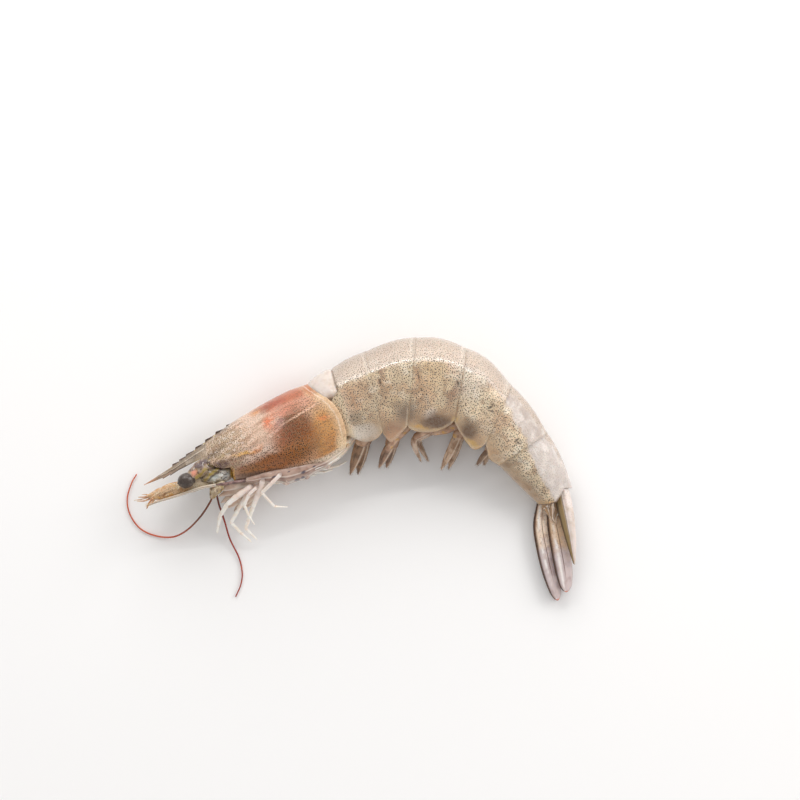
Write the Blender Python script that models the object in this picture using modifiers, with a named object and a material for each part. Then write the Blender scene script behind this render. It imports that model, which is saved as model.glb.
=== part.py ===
"""Raw whiteleg shrimp, whole, lying on its right side with its left side up.

Frame: metres, +Z up.  The animal's plane of symmetry lies flat, level with XY: the head points to -X and
the arched back to +Y.  The origin is the flat spot under segment 2 of the abdomen, on which it rests.
Sizes below are in millimetres and are scaled by MM when a mesh is made.
"""
import math

import bmesh
import bpy
import numpy as np
from mathutils import Vector

MM = 0.001
GAP = 0.3             # clear space between neighbouring pieces
FLOOR = 0.0           # no piece reaches below it; where the body would, it is pressed flat
UP = Vector((0.0, 0.0, 1.0))

# ---- driving sizes of the body -----------------------------------------------------------------------

# Joints of the abdomen from the carapace to the tail fan: back x, y; belly x, y; half width; mid height.
ABDOMEN_JOINTS = (
    (-19.2, 4.6, -13.5, -14.2, 8.7, 9.0),
    (-10.1, 9.2, -5.0, -12.9, 9.2, 9.1),
    (3.9, 13.2, 2.0, -11.2, 9.3, 9.1),
    (18.2, 10.4, 15.1, -9.8, 9.0, 8.8),
    (30.8, 0.3, 23.8, -16.2, 8.2, 8.0),
    (40.9, -12.9, 27.4, -22.1, 7.1, 6.9),
    (48.4, -28.8, 39.8, -33.3, 4.7, 4.7),
)
SEGMENT_COUNT = 6
SHORTEST_SEGMENT = 10.0                                # length along the belly, which sets the gaps there
SEGMENT_CROWN = (0.3, 0.3, 0.4, 0.9, 0.4, 0.6)        # how far each back bulges past the smooth arch
PLEURON_LOBE = (0.8, 3.6, 3.4, 4.4, 1.2, 0.0)         # how far each side plate hangs below its joints
PLEURON_LEAN = (0.5, 0.35, 0.6, 0.6, 0.5, 0.5)        # where along the segment that lobe is lowest
PLEURON_THICK = 0.9
BELLY_DEPTH = 0.76                                     # the soft belly, as a share of the body's depth
SHOULDER = 0.42                                        # depth share at which the side is widest
SIDE_TAPER = 0.14
SEGMENT_LIP = 0.22                                     # how far a segment's rear edge stands out

# Carapace sections from the rear edge to the front edge, in the same terms.
CARAPACE_SECTIONS = (
    (-26.0, 0.2, -14.3, -16.9, 8.9, 9.2),
    (-30.8, -1.4, -20.7, -20.9, 9.4, 9.2),
    (-36.4, -4.2, -28.6, -23.0, 9.2, 9.2),
    (-42.0, -7.4, -35.8, -24.6, 8.1, 9.2),
    (-47.6, -10.9, -41.4, -25.8, 6.7, 9.2),
    (-54.4, -16.2, -46.2, -26.7, 4.6, 9.2),
)
CARAPACE_WIDEST = 0.50
CARAPACE_TUCK = 0.34                                   # how far the lower margin turns in
REAR_BOW = 2.7                                         # backward bulge of the rear edge
FRONT_WAVE = 2.0                                       # S shape of the front edge below the orbit

NECK_REACH = (0.36, 0.45)                              # how far down the two edges the joint skin shows
NECK_GAP = 0.33
NECK_HALF_WIDTH = 8.1

ROSTRUM_TIP = (-71.7, -28.0)
ROSTRUM_TOP = (-46.0, -10.6)                           # where its upper edge runs into the back
ROSTRUM_ORBIT = (-54.6, -20.2)                         # where its lower edge meets the orbit
ROSTRUM_HALF_THICK = 1.0
ROSTRUM_TEETH = (0.31, 0.38, 0.46, 0.55, 0.65, 0.76, 0.88)   # tooth tips, as shares from tip to top
ROSTRUM_TOOTH = 0.85
ROSTRUM_LOWER_TEETH = (0.24, 0.36)

MID = 9.2                                              # height of the head's plane of symmetry
EYE_RADIUS = 2.25
EYE = (-60.2, -27.2, MID + 4.9)

COLOURS = {
    "shell": (0.46, 0.36, 0.26),
    "head": (0.36, 0.19, 0.09),
    "membrane": (0.70, 0.60, 0.52),
    "eye": (0.03, 0.025, 0.02),
    "antenna": (0.45, 0.09, 0.05),
    "leg": (0.66, 0.52, 0.42),
    "fan": (0.42, 0.34, 0.31),
}
WETNESS = 0.25


# ---- shared tools ------------------------------------------------------------------------------------

def clear_scene():
    for obj in list(bpy.data.objects):
        bpy.data.objects.remove(obj, do_unlink=True)


def material(name):
    found = bpy.data.materials.get(name)
    if found:
        return found
    made = bpy.data.materials.new(name)
    made.use_nodes = True
    shader = made.node_tree.nodes["Principled BSDF"]
    shader.inputs["Base Color"].default_value = (*COLOURS[name], 1.0)
    shader.inputs["Roughness"].default_value = WETNESS
    shader.inputs["Metallic"].default_value = 0.0
    return made


def place(obj, look, parts, root):
    parts.objects.link(obj)
    obj.data.materials.clear()
    obj.data.materials.append(material(look))
    obj.parent = root
    return obj


def blend(rows, at):
    """Smooth curve through the rows, where row k is met at = k."""
    rows = np.asarray(rows, dtype=float)
    k = max(0, min(int(at), len(rows) - 2))
    f = at - k
    here, there = rows[k], rows[k + 1]
    before = rows[k - 1] if k > 0 else 2 * here - there
    after = rows[k + 2] if k + 2 < len(rows) else 2 * there - here
    return 0.5 * (2 * here + (there - before) * f
                  + (2 * before - 5 * here + 4 * there - after) * f ** 2
                  + (3 * here - before - 3 * there + after) * f ** 3)


def route(points, count):
    """Points evenly numbered along a smooth curve through the given ones."""
    return [Vector(blend(points, (len(points) - 1) * i / (count - 1))) for i in range(count)]


def loft(name, rings, look, parts, root, sharp_deg=40.0):
    """One closed body through rings of equally many points, with flat ends."""
    mesh = bpy.data.meshes.new(name)
    bm = bmesh.new()
    loops = [[bm.verts.new(Vector(p) * MM) for p in ring] for ring in rings]
    for near, far in zip(loops, loops[1:]):
        for i in range(len(near)):
            bm.faces.new((near[i - 1], near[i], far[i], far[i - 1]))
    ends = [bm.faces.new(loops[0]), bm.faces.new(loops[-1][::-1])]
    bm.normal_update()
    bmesh.ops.triangulate(bm, faces=ends)
    bmesh.ops.recalc_face_normals(bm, faces=bm.faces)
    bm.to_mesh(mesh)
    bm.free()
    mesh.shade_smooth()
    mesh.set_sharp_from_angle(angle=math.radians(sharp_deg))
    return place(bpy.data.objects.new(name, mesh), look, parts, root)


def tube(name, points, radii, look, parts, root, rounded=2):
    """A round, tapering wire or leg through the points."""
    curve = bpy.data.curves.new(name, "CURVE")
    curve.dimensions = "3D"
    curve.bevel_depth = MM
    curve.bevel_resolution = rounded
    curve.use_fill_caps = True
    spline = curve.splines.new("POLY")
    spline.points.add(len(points) - 1)
    for k, (dot, at) in enumerate(zip(spline.points, points)):
        dot.co = (*(Vector(at) * MM), 1.0)
        dot.radius = float(blend([[r] for r in radii], (len(radii) - 1) * k / (len(points) - 1))[0])
    return place(bpy.data.objects.new(name, curve), look, parts, root)


def blade(name, points, widths, thick, look, parts, root, across=None, count=9, sides=8):
    """A thin leaf of lens section: wide across, or within XY where no direction is given."""
    spine = route(points, count)
    rings = []
    for k, at in enumerate(spine):
        along = (spine[min(k + 1, count - 1)] - spine[max(k - 1, 0)]).normalized()
        side = (Vector(across) if across else UP.cross(along)).normalized()
        face = along.cross(side).normalized()
        share = k / (count - 1)
        half = 0.5 * float(blend([[w] for w in widths], (len(widths) - 1) * share)[0])
        deep = 0.5 * thick * (1.0 - 0.55 * share)
        turns = [2 * math.pi * i / sides for i in range(sides)]
        rings.append([at + side * half * math.cos(a) + face * deep * math.sin(a) for a in turns])
    return loft(name, rings, look, parts, root, 60.0)


# ---- body sections -----------------------------------------------------------------------------------

def section_frame(section):
    """Back point, unit vector down the side, depth, and unit vector towards the tail."""
    back = Vector(section[0:2])
    down = Vector(section[2:4]) - back
    depth = down.length
    down.normalize()
    return back, down, depth, Vector((-down.y, down.x))


def side_share(depth, widest, tuck):
    """Half width at a depth, both as shares, for a body that is round above and upright below."""
    if depth < widest:
        return math.sqrt(max(0.0, 1.0 - (1.0 - depth / widest) ** 2))
    return 1.0 - tuck * ((depth - widest) / (1.0 - widest)) ** 2


def depths(widest, arch_steps, wall_steps):
    """Depth shares from the back down to the lower margin, closer together on the arch."""
    arch = [widest * (1 - math.cos(0.5 * math.pi * k / arch_steps)) for k in range(1, arch_steps + 1)]
    wall = [widest + (1 - widest) * k / wall_steps for k in range(1, wall_steps + 1)]
    return arch + wall


def mirrored(top, side, floor):
    """A closed ring: the back's point, down the left side, across the belly and up the right side.

    Each entry of side is (x, y, half width, mid height)."""
    left = [(x, y, mid + wide) for x, y, wide, mid in side]
    right = [(x, y, mid - wide) for x, y, wide, mid in side]
    ring = [top] + left + [floor] + right[::-1]
    return [(x, y, max(z, FLOOR)) for x, y, z in ring]


def abdomen_ring(joint_at, segment, share):
    """Section of one abdominal segment; share runs from its front edge to its rear edge."""
    section = blend(ABDOMEN_JOINTS, joint_at)
    back, down, depth, _ = section_frame(section)
    wide, mid = section[4:6]
    lip = SEGMENT_LIP * max(0.0, share - 0.8) / 0.2
    back -= down * (SEGMENT_CROWN[segment] * math.sin(math.pi * share) + lip)
    wide += lip
    lean = PLEURON_LEAN[segment]
    rise = share / lean if share < lean else (1.0 - share) / (1.0 - lean)
    hang = depth + PLEURON_LOBE[segment] * math.sin(0.5 * math.pi * rise)
    side = []
    for part in depths(SHOULDER, 5, 4):
        reach = depth * part
        if part > SHOULDER:
            reach = depth * SHOULDER + (hang - depth * SHOULDER) * (part - SHOULDER) / (1 - SHOULDER)
        at = back + down * reach
        side.append((at.x, at.y, wide * side_share(part, SHOULDER, SIDE_TAPER), mid))
    edge = back + down * (hang + 0.25)
    inner = wide * (1.0 - SIDE_TAPER) - PLEURON_THICK
    belly = back + down * (depth * BELLY_DEPTH)
    keel = back + down * (depth * BELLY_DEPTH + 0.8)
    side.append((edge.x, edge.y, inner + 0.35, mid))
    side.append((belly.x, belly.y, inner - 0.6, mid))
    return mirrored((back.x, back.y, mid), side, (keel.x, keel.y, mid))


def tail_ring(joint_at, share):
    """Section of segment 6, a closed oval without side plates."""
    section = blend(ABDOMEN_JOINTS, joint_at)
    back, down, depth, _ = section_frame(section)
    wide, mid = section[4:6]
    back -= down * (SEGMENT_CROWN[5] * math.sin(math.pi * share))
    side = []
    for k in range(1, 12):
        turn = math.pi * k / 12
        at = back + down * (0.5 * depth * (1 - math.cos(turn)))
        side.append((at.x, at.y, wide * math.sin(turn) ** 0.8, mid))
    keel = back + down * depth
    return mirrored((back.x, back.y, mid), side, (keel.x, keel.y, mid))


def make_abdomen(parts, root):
    inset = 0.5 * GAP / SHORTEST_SEGMENT
    steps = 6
    for segment in range(SEGMENT_COUNT - 1):
        rings = []
        for k in range(steps + 1):
            share = k / steps
            joint_at = segment + inset + (1 - 2 * inset) * share
            rings.append(abdomen_ring(joint_at, segment, share))
        loft(f"abdomen_{segment + 1}", rings, "shell", parts, root)
    rings = []
    steps = 9
    for k in range(steps + 1):
        share = k / steps
        joint_at = 5 + inset + (1 - 2 * inset) * share
        rings.append(tail_ring(joint_at, share))
    loft("abdomen_6", rings, "shell", parts, root)


# ---- head --------------------------------------------------------------------------------------------

def carapace_ring(at, shift_rear, shift_front):
    section = blend(CARAPACE_SECTIONS, at)
    back, down, depth, behind = section_frame(section)
    wide, mid = section[4:6]
    side = []
    for part in depths(CARAPACE_WIDEST, 6, 6):
        bow = REAR_BOW * shift_rear * math.sin(math.pi * part) ** 1.3 if part < 1 else 0.0
        bow -= FRONT_WAVE * shift_front * math.sin(2 * math.pi * part)
        spot = back + down * (depth * part) + behind * bow
        side.append((spot.x, spot.y, wide * side_share(part, CARAPACE_WIDEST, CARAPACE_TUCK), mid))
    chord = back + down * (depth * 0.93)
    inner = wide * (1 - CARAPACE_TUCK) - 1.0
    side.append((chord.x, chord.y, inner, mid))
    breast = chord - down * 0.5
    return mirrored((back.x, back.y, mid), side, (breast.x, breast.y, mid))


def rostrum_ring(share, tooth, lower_tooth, forward):
    """Lens section of the rostrum; share runs from its tip to its root."""
    tip, top, orbit = Vector(ROSTRUM_TIP), Vector(ROSTRUM_TOP), Vector(ROSTRUM_ORBIT)
    upper = tip.lerp(top, share)
    lower = tip.lerp(orbit, min(share * 1.35, 1.0 + 0.3 * share))
    rise = (upper - lower).normalized() if share > 0.01 else Vector((-0.56, 0.83))
    ahead = (tip - top).normalized()
    upper = upper + rise * (tooth + 0.35 * math.sin(math.pi * share)) + ahead * forward
    lower = lower - rise * lower_tooth
    ridge = lower.lerp(upper, 0.6)
    thick = ROSTRUM_HALF_THICK * (0.2 + 0.8 * share)
    quarter = lower.lerp(upper, 0.25)
    crest = lower.lerp(upper, 0.85)
    side = [(crest, 0.35 * thick), (ridge, thick), (quarter, 0.6 * thick)]
    left = [(p.x, p.y, MID + w) for p, w in side]
    right = [(p.x, p.y, MID - w) for p, w in side]
    return [(upper.x, upper.y, MID)] + left + [(lower.x, lower.y, MID)] + right[::-1]


def make_rostrum(parts, root):
    rings = [rostrum_ring(0.0, 0.06, 0.06, 0.0), rostrum_ring(0.1, 0.0, 0.0, 0.0)]
    stops = sorted([(s, "upper") for s in ROSTRUM_TEETH] + [(s, "lower") for s in ROSTRUM_LOWER_TEETH])
    for share, where in stops:
        up = ROSTRUM_TOOTH if where == "upper" else 0.0
        low = 0.6 * ROSTRUM_TOOTH if where == "lower" else 0.0
        rings.append(rostrum_ring(share - 0.006, 0.0, 0.0, 0.0))
        rings.append(rostrum_ring(share + 0.008, up, low, 0.35))
    rings.append(rostrum_ring(1.0, 0.0, 0.0, 0.0))
    return loft("rostrum", rings, "head", parts, root, 30.0)


def make_carapace(parts, root):
    last = len(CARAPACE_SECTIONS) - 1
    steps = 14
    rings = []
    for k in range(steps + 1):
        at = last * k / steps
        rear = max(0.0, 1.0 - at / 1.6)
        front = max(0.0, at - (last - 1.4)) / 1.4
        rings.append(carapace_ring(at, rear, front))
    shell = loft("carapace", rings, "head", parts, root)
    rostrum = make_rostrum(parts, root)
    join = shell.modifiers.new("rostrum", "BOOLEAN")
    join.operation = "UNION"
    join.object = rostrum
    view = bpy.context.evaluated_depsgraph_get()
    fused = bpy.data.meshes.new_from_object(shell.evaluated_get(view))
    shell.modifiers.remove(join)
    shell.data = fused
    bpy.data.objects.remove(rostrum, do_unlink=True)
    fused.shade_smooth()
    fused.set_sharp_from_angle(angle=math.radians(40.0))


def make_neck(parts, root):
    """The white joint skin that fills the wedge between the carapace's back corner and segment 1."""
    shell_back, shell_down, shell_depth, behind = section_frame(CARAPACE_SECTIONS[0])
    joint_back, joint_down, joint_depth, _ = section_frame(ABDOMEN_JOINTS[0])
    rings = []
    for step in (0.0, 0.5, 1.0):
        side = []
        for part in depths(0.9, 5, 1):
            bow = REAR_BOW * math.sin(math.pi * part * NECK_REACH[0]) ** 1.3
            front = shell_back + shell_down * (shell_depth * part * NECK_REACH[0]) + behind * (bow + NECK_GAP)
            rear = joint_back + joint_down * (joint_depth * part * NECK_REACH[1]) - behind * NECK_GAP
            spot = front.lerp(rear, step)
            wide = NECK_HALF_WIDTH * side_share(part, 0.9, 0.0)
            side.append((spot.x, spot.y, wide, MID))
        top = (shell_back + behind * NECK_GAP).lerp(joint_back - behind * NECK_GAP, step)
        floor = top.lerp(Vector(side[-1][:2]), 0.97)
        rings.append(mirrored((top.x, top.y, MID), side, (floor.x, floor.y, MID)))
    loft("neck_membrane", rings, "membrane", parts, root)


def make_thorax_underside(parts, root):
    """The soft strip of breast and leg bases that hangs below the carapace's lower margins."""
    top = [(-15.6, -17.9), (-21.2, -21.4), (-28.8, -23.6), (-36.0, -25.2), (-42.8, -26.7)]
    low = [(-15.0, -19.6), (-21.0, -23.6), (-29.6, -27.6), (-36.4, -27.6), (-43.2, -27.9)]
    half = [3.2, 4.6, 5.1, 4.6, 3.2]
    rings = []
    count = 11
    for k in range(count):
        at = (len(top) - 1) * k / (count - 1)
        above = Vector(blend(top, at))
        below = Vector(blend(low, at))
        wide = float(blend([[h] for h in half], at)[0])
        ring = []
        for i in range(14):
            turn = 2 * math.pi * i / 14
            spot = above.lerp(below, 0.5 - 0.5 * math.cos(turn))
            ring.append((spot.x, spot.y, MID + wide * math.sin(turn)))
        rings.append(ring)
    loft("thorax_underside", rings, "membrane", parts, root)


def make_eyes(parts, root):
    for name, mirror in (("left", 1), ("right", -1)):
        mesh = bpy.data.meshes.new(f"eye_{name}")
        bm = bmesh.new()
        bmesh.ops.create_uvsphere(bm, u_segments=16, v_segments=10, radius=EYE_RADIUS * MM)
        bm.to_mesh(mesh)
        bm.free()
        mesh.shade_smooth()
        eye = place(bpy.data.objects.new(f"eye_{name}", mesh), "eye", parts, root)
        eye.location = Vector((EYE[0], EYE[1], MID + mirror * (EYE[2] - MID))) * MM
        eye.scale = (1.1, 0.95, 0.9)
        stalk = [(-58.0, -25.4, MID + mirror * 4.2), (-56.6, -23.7, MID + mirror * 3.6),
                 (-55.4, -21.6, MID + mirror * 3.0)]
        tube(f"eyestalk_{name}", route(stalk, 5), (0.9, 1.1, 1.2), "membrane", parts, root, 3)


def make_face(parts, root):
    """The block below the orbit from which the feelers spring."""
    mesh = bpy.data.meshes.new("face")
    bm = bmesh.new()
    bmesh.ops.create_uvsphere(bm, u_segments=16, v_segments=10, radius=MM)
    bm.to_mesh(mesh)
    bm.free()
    mesh.shade_smooth()
    face = place(bpy.data.objects.new("face", mesh), "membrane", parts, root)
    face.location = Vector((-52.15, -25.75, MID)) * MM
    face.rotation_euler = (0.0, 0.0, math.radians(14))
    face.scale = (4.5, 2.7, 4.2)


def make_feelers(parts, root):
    for name, mirror in (("left", 1), ("right", -1)):
        def lift(offset):
            return MID + mirror * offset

        peduncle = [(-56.9, -28.0, lift(1.6)), (-60.2, -29.1, lift(1.6)), (-64.4, -30.2, lift(1.6)),
                    (-68.6, -31.5, lift(1.5)), (-73.2, -32.2, lift(1.4))]
        tube(f"antennule_{name}", route(peduncle, 11), (1.2, 1.25, 1.15, 0.9, 0.25), "shell", parts, root)
        scale = [(-51.5, -29.2, lift(3.0)), (-56.0, -29.9, lift(3.6)), (-61.6, -31.9, lift(3.9)),
                 (-67.2, -33.4, lift(3.6)), (-70.2, -34.2, lift(3.2))]
        blade(f"antennal_scale_{name}", scale, (2.2, 4.6, 5.4, 4.2, 0.8), 0.6, "shell", parts, root,
              across=(0.0, 0.0, 1.0))
        base = [(-51.4, -30.4, lift(2.4)), (-52.3, -31.8, lift(2.4)), (-52.7, -33.0, lift(2.4))]
        tube(f"antenna_base_{name}", route(base, 4), (1.1, 1.2, 0.8), "membrane", parts, root)


ANTENNA_LEFT = (
    (-53.3, -33.6, 10.9), (-56.0, -37.0, 9.0), (-59.9, -40.8, 4.6), (-64.1, -42.8, 1.4),
    (-69.2, -42.4, 0.5), (-73.4, -40.3, 0.5), (-76.2, -36.3, 0.5), (-76.9, -32.0, 0.5),
    (-75.7, -27.7, 0.5), (-74.3, -25.2, 0.5),
)
ANTENNA_RIGHT = (
    (-52.3, -33.8, 5.8), (-50.4, -36.2, 4.6), (-49.3, -38.6, 3.6), (-47.9, -43.4, 1.6),
    (-45.4, -48.7, 0.5), (-44.5, -52.9, 0.5), (-44.9, -56.3, 0.5), (-46.3, -59.6, 0.5),
)


def make_antennae(parts, root):
    tube("antenna_left", route(ANTENNA_LEFT, 46), (0.3, 0.27, 0.24, 0.18), "antenna", parts, root)
    tube("antenna_right", route(ANTENNA_RIGHT, 26), (0.3, 0.27, 0.24, 0.18), "antenna", parts, root)


# ---- legs --------------------------------------------------------------------------------------------

# Routes of the left side's legs from hip to claw, and the radius along each.
LEFT_LEGS = {
    "maxilliped_left": (((-42.9, -29.2, 12.0), (-45.4, -30.9, 11.4), (-48.2, -33.2, 9.6),
                         (-50.3, -35.7, 7.0), (-51.3, -38.8, 4.4), (-51.5, -41.6, 2.4)),
                        (0.8, 0.75, 0.6, 0.5, 0.45, 0.2)),
    "leg_1_left": (((-40.6, -29.6, 13.6), (-42.2, -31.0, 13.1), (-43.6, -33.2, 11.6),
                    (-42.8, -35.9, 9.4), (-40.8, -39.2, 6.8)),
                   (0.55, 0.5, 0.45, 0.4, 0.2)),
    "leg_2_left": (((-40.9, -29.4, 9.6), (-43.3, -31.2, 9.3), (-45.8, -35.0, 7.8), (-47.5, -38.1, 6.0),
                    (-45.2, -41.0, 4.2), (-41.8, -44.2, 2.2)),
                   (0.7, 0.6, 0.5, 0.45, 0.45, 0.2)),
    "leg_3_left": (((-38.5, -28.8, 11.4), (-39.9, -30.9, 10.8), (-41.4, -33.9, 9.0),
                    (-42.4, -36.6, 7.0), (-43.3, -40.0, 5.0), (-40.3, -43.5, 2.6)),
                   (0.7, 0.6, 0.5, 0.45, 0.45, 0.2)),
    "leg_4_left": (((-34.2, -28.6, 13.2), (-36.2, -29.4, 12.9), (-38.4, -30.2, 12.4), (-36.9, -32.1, 10.6),
                    (-35.1, -34.0, 8.6), (-31.6, -34.3, 6.4)),
                   (0.55, 0.5, 0.45, 0.42, 0.4, 0.2)),
}


def make_mouthparts(parts, root):
    """The flat plates in front of the legs, lying over one another like a closed fan."""
    spine = ((-39.6, -29.0, 7.3), (-43.6, -29.6, 7.2), (-47.2, -31.0, 6.6), (-50.4, -33.0, 5.8))
    blade("mouthparts", spine, (1.4, 3.2, 3.4, 1.2), 1.8, "leg", parts, root, count=8)


def make_left_legs(parts, root):
    for name, (points, radii) in LEFT_LEGS.items():
        tube(name, route(points, 12), radii, "leg", parts, root)


def below_margin(at, out, height):
    """A point beside the carapace's lower margin, a distance out from it, at a height."""
    section = blend(CARAPACE_SECTIONS, at)
    spot = Vector(section[2:4]) + section_frame(section)[1] * out
    return (spot.x, spot.y, height)


def make_folded_legs(parts, root):
    """The lower side's legs, and left leg 5, lie folded back along the breast."""
    names = ["maxilliped_right"] + [f"leg_{k}_right" for k in range(1, 6)]
    radii = (0.42, 0.42, 0.38, 0.34, 0.2)
    for k, name in enumerate(names):
        hip = 4.8 - 0.58 * k
        points = [below_margin(hip, 0.9, 2.7), below_margin(hip - 0.55, 1.9, 2.2),
                  below_margin(hip - 1.1, 3.0, 1.5), below_margin(hip - 1.5, 3.4, 0.8)]
        tube(name, route(points, 9), radii, "leg", parts, root)
    points = [below_margin(2.55, 1.0, 14.6), below_margin(1.9, 1.3, 14.8),
              below_margin(1.1, 1.2, 14.7), below_margin(0.5, 1.2, 14.1)]
    tube("leg_5_left", route(points, 9), radii, "leg", parts, root)


# ---- swimmerets and tail fan -------------------------------------------------------------------------

# The left side's swimmerets: root, bend and tip, with the height of each, and the widths along them.
SWIMMERETS = (
    (((-8.6, -10.6, 12.2), (-10.6, -15.6, 12.0), (-12.2, -20.0, 10.6), (-14.0, -25.2, 7.6)),
     (2.6, 3.2, 3.4, 2.6, 0.8)),
    (((-0.8, -10.6, 12.2), (-2.6, -16.4, 12.0), (-4.2, -19.6, 10.4), (-5.9, -23.2, 7.4)),
     (2.2, 2.6, 2.6, 2.2, 0.8)),
    (((11.2, -9.2, 12.2), (8.2, -12.9, 12.0), (3.9, -15.6, 10.8), (5.9, -21.6, 7.6)),
     (2.0, 1.9, 2.0, 1.6, 0.8)),
    (((19.2, -9.4, 11.4), (16.4, -13.8, 11.2), (14.2, -18.4, 9.8), (11.5, -23.8, 6.8)),
     (2.2, 2.6, 2.6, 2.2, 0.8)),
    (((26.2, -15.4, 10.2), (24.8, -18.2, 10.0), (23.0, -20.4, 9.0), (21.6, -22.4, 7.6)),
     (1.6, 1.8, 1.8, 1.5, 0.8)),
)
RIGHT_SHIFT = 0.7                                      # the right ones lie a little nearer the tail
RIGHT_LEVELS = (4.6, 4.4, 3.0, 1.4)


def make_swimmerets(parts, root):
    for k, (points, widths) in enumerate(SWIMMERETS):
        blade(f"swimmeret_{k + 1}_left", points, widths, 0.8, "shell", parts, root, count=8, sides=6)
        low = [(x + RIGHT_SHIFT * i, y, RIGHT_LEVELS[i]) for i, (x, y, z) in enumerate(points)]
        blade(f"swimmeret_{k + 1}_right", low, widths, 0.8, "shell", parts, root, count=8, sides=6)


def make_fan_blade(name, points, widths, curl, parts, root):
    """A leaf of the tail fan: an open curved sheet given a thickness."""
    along_steps, across_steps = 10, 4
    spine = route(points, along_steps + 1)
    mesh = bpy.data.meshes.new(name)
    bm = bmesh.new()
    rows = []
    for k, at in enumerate(spine):
        along = (spine[min(k + 1, along_steps)] - spine[max(k - 1, 0)]).normalized()
        side = UP.cross(along).normalized()
        share = k / along_steps
        half = 0.5 * float(blend([[w] for w in widths], (len(widths) - 1) * share)[0])
        row = []
        for j in range(across_steps + 1):
            off = 2.0 * j / across_steps - 1.0
            spot = at + side * (half * off) + UP * (curl * (1 - off * off))
            row.append(bm.verts.new(spot * MM))
        rows.append(row)
    for near, far in zip(rows, rows[1:]):
        for j in range(across_steps):
            bm.faces.new((near[j], near[j + 1], far[j + 1], far[j]))
    bm.to_mesh(mesh)
    bm.free()
    mesh.shade_smooth()
    leaf = place(bpy.data.objects.new(name, mesh), "fan", parts, root)
    shell = leaf.modifiers.new("thickness", "SOLIDIFY")
    shell.thickness = 0.5 * MM
    shell.offset = 0.0
    return leaf


def make_tail_fan(parts, root):
    telson = [(46.2, -31.1, 6.4), (47.0, -37.4, 6.4), (48.2, -44.8, 6.1), (49.0, -49.6, 5.6)]
    blade("telson", telson, (4.8, 4.0, 2.4, 0.6), 2.6, "fan", parts, root, count=9, sides=10)
    exopod = [(41.2, -36.6), (40.9, -42.0), (41.8, -48.0), (43.0, -54.0), (44.4, -60.4)]
    endopod = [(43.6, -36.8), (44.6, -41.8), (45.6, -47.6), (46.4, -53.0), (46.8, -57.8)]
    levels = (("left", 3.3, 4.4, 0.35), ("right", 0.9, 2.0, 0.2))
    for name, low, high, curl in levels:
        outer = [(x, y, low) for x, y in exopod]
        inner = [(x, y, high) for x, y in endopod]
        make_fan_blade(f"uropod_outer_{name}", outer, (2.4, 3.4, 4.0, 4.0, 1.0), curl, parts, root)
        make_fan_blade(f"uropod_inner_{name}", inner, (2.2, 3.8, 4.6, 4.6, 1.2), curl, parts, root)
        stem = [(42.1, -33.0, low + 0.5), (42.4, -34.5, low + 0.5), (42.6, -36.0, low + 0.5)]
        blade(f"uropod_stem_{name}", stem, (4.0, 4.8, 4.6), 1.9, "fan", parts, root, count=3)


def build():
    clear_scene()
    parts = bpy.data.collections.new("whiteleg_shrimp")
    bpy.context.scene.collection.children.link(parts)
    root = bpy.data.objects.new("shrimp", None)
    parts.objects.link(root)
    make_abdomen(parts, root)
    make_carapace(parts, root)
    make_neck(parts, root)
    make_thorax_underside(parts, root)
    make_eyes(parts, root)
    make_face(parts, root)
    make_feelers(parts, root)
    make_antennae(parts, root)
    make_mouthparts(parts, root)
    make_left_legs(parts, root)
    make_folded_legs(parts, root)
    make_swimmerets(parts, root)
    make_tail_fan(parts, root)


build()
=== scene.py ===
"""Raw whiteleg shrimp, whole, lying on its right side: shell, head, legs and tail fan as they look wet."""
import math

import bpy
import numpy as np
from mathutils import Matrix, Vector


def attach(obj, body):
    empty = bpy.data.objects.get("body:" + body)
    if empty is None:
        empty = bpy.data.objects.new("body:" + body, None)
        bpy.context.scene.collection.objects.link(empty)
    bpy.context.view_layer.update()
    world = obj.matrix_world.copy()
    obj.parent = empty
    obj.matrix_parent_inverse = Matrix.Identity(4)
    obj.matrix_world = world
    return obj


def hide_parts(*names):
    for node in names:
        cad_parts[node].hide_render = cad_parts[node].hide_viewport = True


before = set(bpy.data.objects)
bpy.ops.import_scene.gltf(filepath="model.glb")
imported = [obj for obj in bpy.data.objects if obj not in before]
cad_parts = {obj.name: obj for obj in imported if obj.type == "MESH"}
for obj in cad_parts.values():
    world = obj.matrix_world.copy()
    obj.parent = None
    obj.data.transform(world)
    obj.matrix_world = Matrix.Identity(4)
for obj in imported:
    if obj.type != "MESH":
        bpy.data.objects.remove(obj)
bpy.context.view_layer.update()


# ---- Abdomen -----------------------------------------------------------------------------------------
# Six rings of thin, wet, translucent shell over pale muscle, peppered with dark pigment cells. Each ring is
# a closed hoop with two side plates; its rear edge lies over the front of the next one, hinged at the side.
# The last ring has no plates, and soft skin closes its open end round the tail fan's roots.

MM = 0.001
FLOOR = 0.0
ABDOMEN_JOINTS = (      # back x, y; belly x, y; half width; mid height
    (-19.2, 4.6, -13.5, -14.2, 8.7, 9.0),
    (-10.1, 9.2, -5.0, -12.9, 9.2, 9.1),
    (3.9, 13.2, 2.0, -11.2, 9.3, 9.1),
    (18.2, 10.4, 15.1, -9.8, 9.0, 8.8),
    (30.8, 0.3, 23.8, -16.2, 8.2, 8.0),
    (40.9, -12.9, 27.4, -22.1, 7.1, 6.9),
    (48.4, -28.8, 38.9, -33.6, 4.7, 4.7),
)
HINGES = ((-17.6, -1.1), (-5.6, 1.1), (5.2, 3.0), (16.2, 0.3), (25.2, -6.4), (32.8, -15.7), (42.0, -32.2))
SEGMENT_CROWN = (0.3, 0.3, 0.4, 0.9, 0.4, 0.6)
PLEURON_LOBE = (2.2, 3.6, 3.2, 4.2, 1.2, 0.0)
PLEURON_LEAN = (0.5, 0.35, 0.6, 0.6, 0.5, 0.5)
KEEL = (0.0, 0.0, 0.0, 0.15, 0.3, 0.45)      # how roof-shaped each back is
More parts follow.
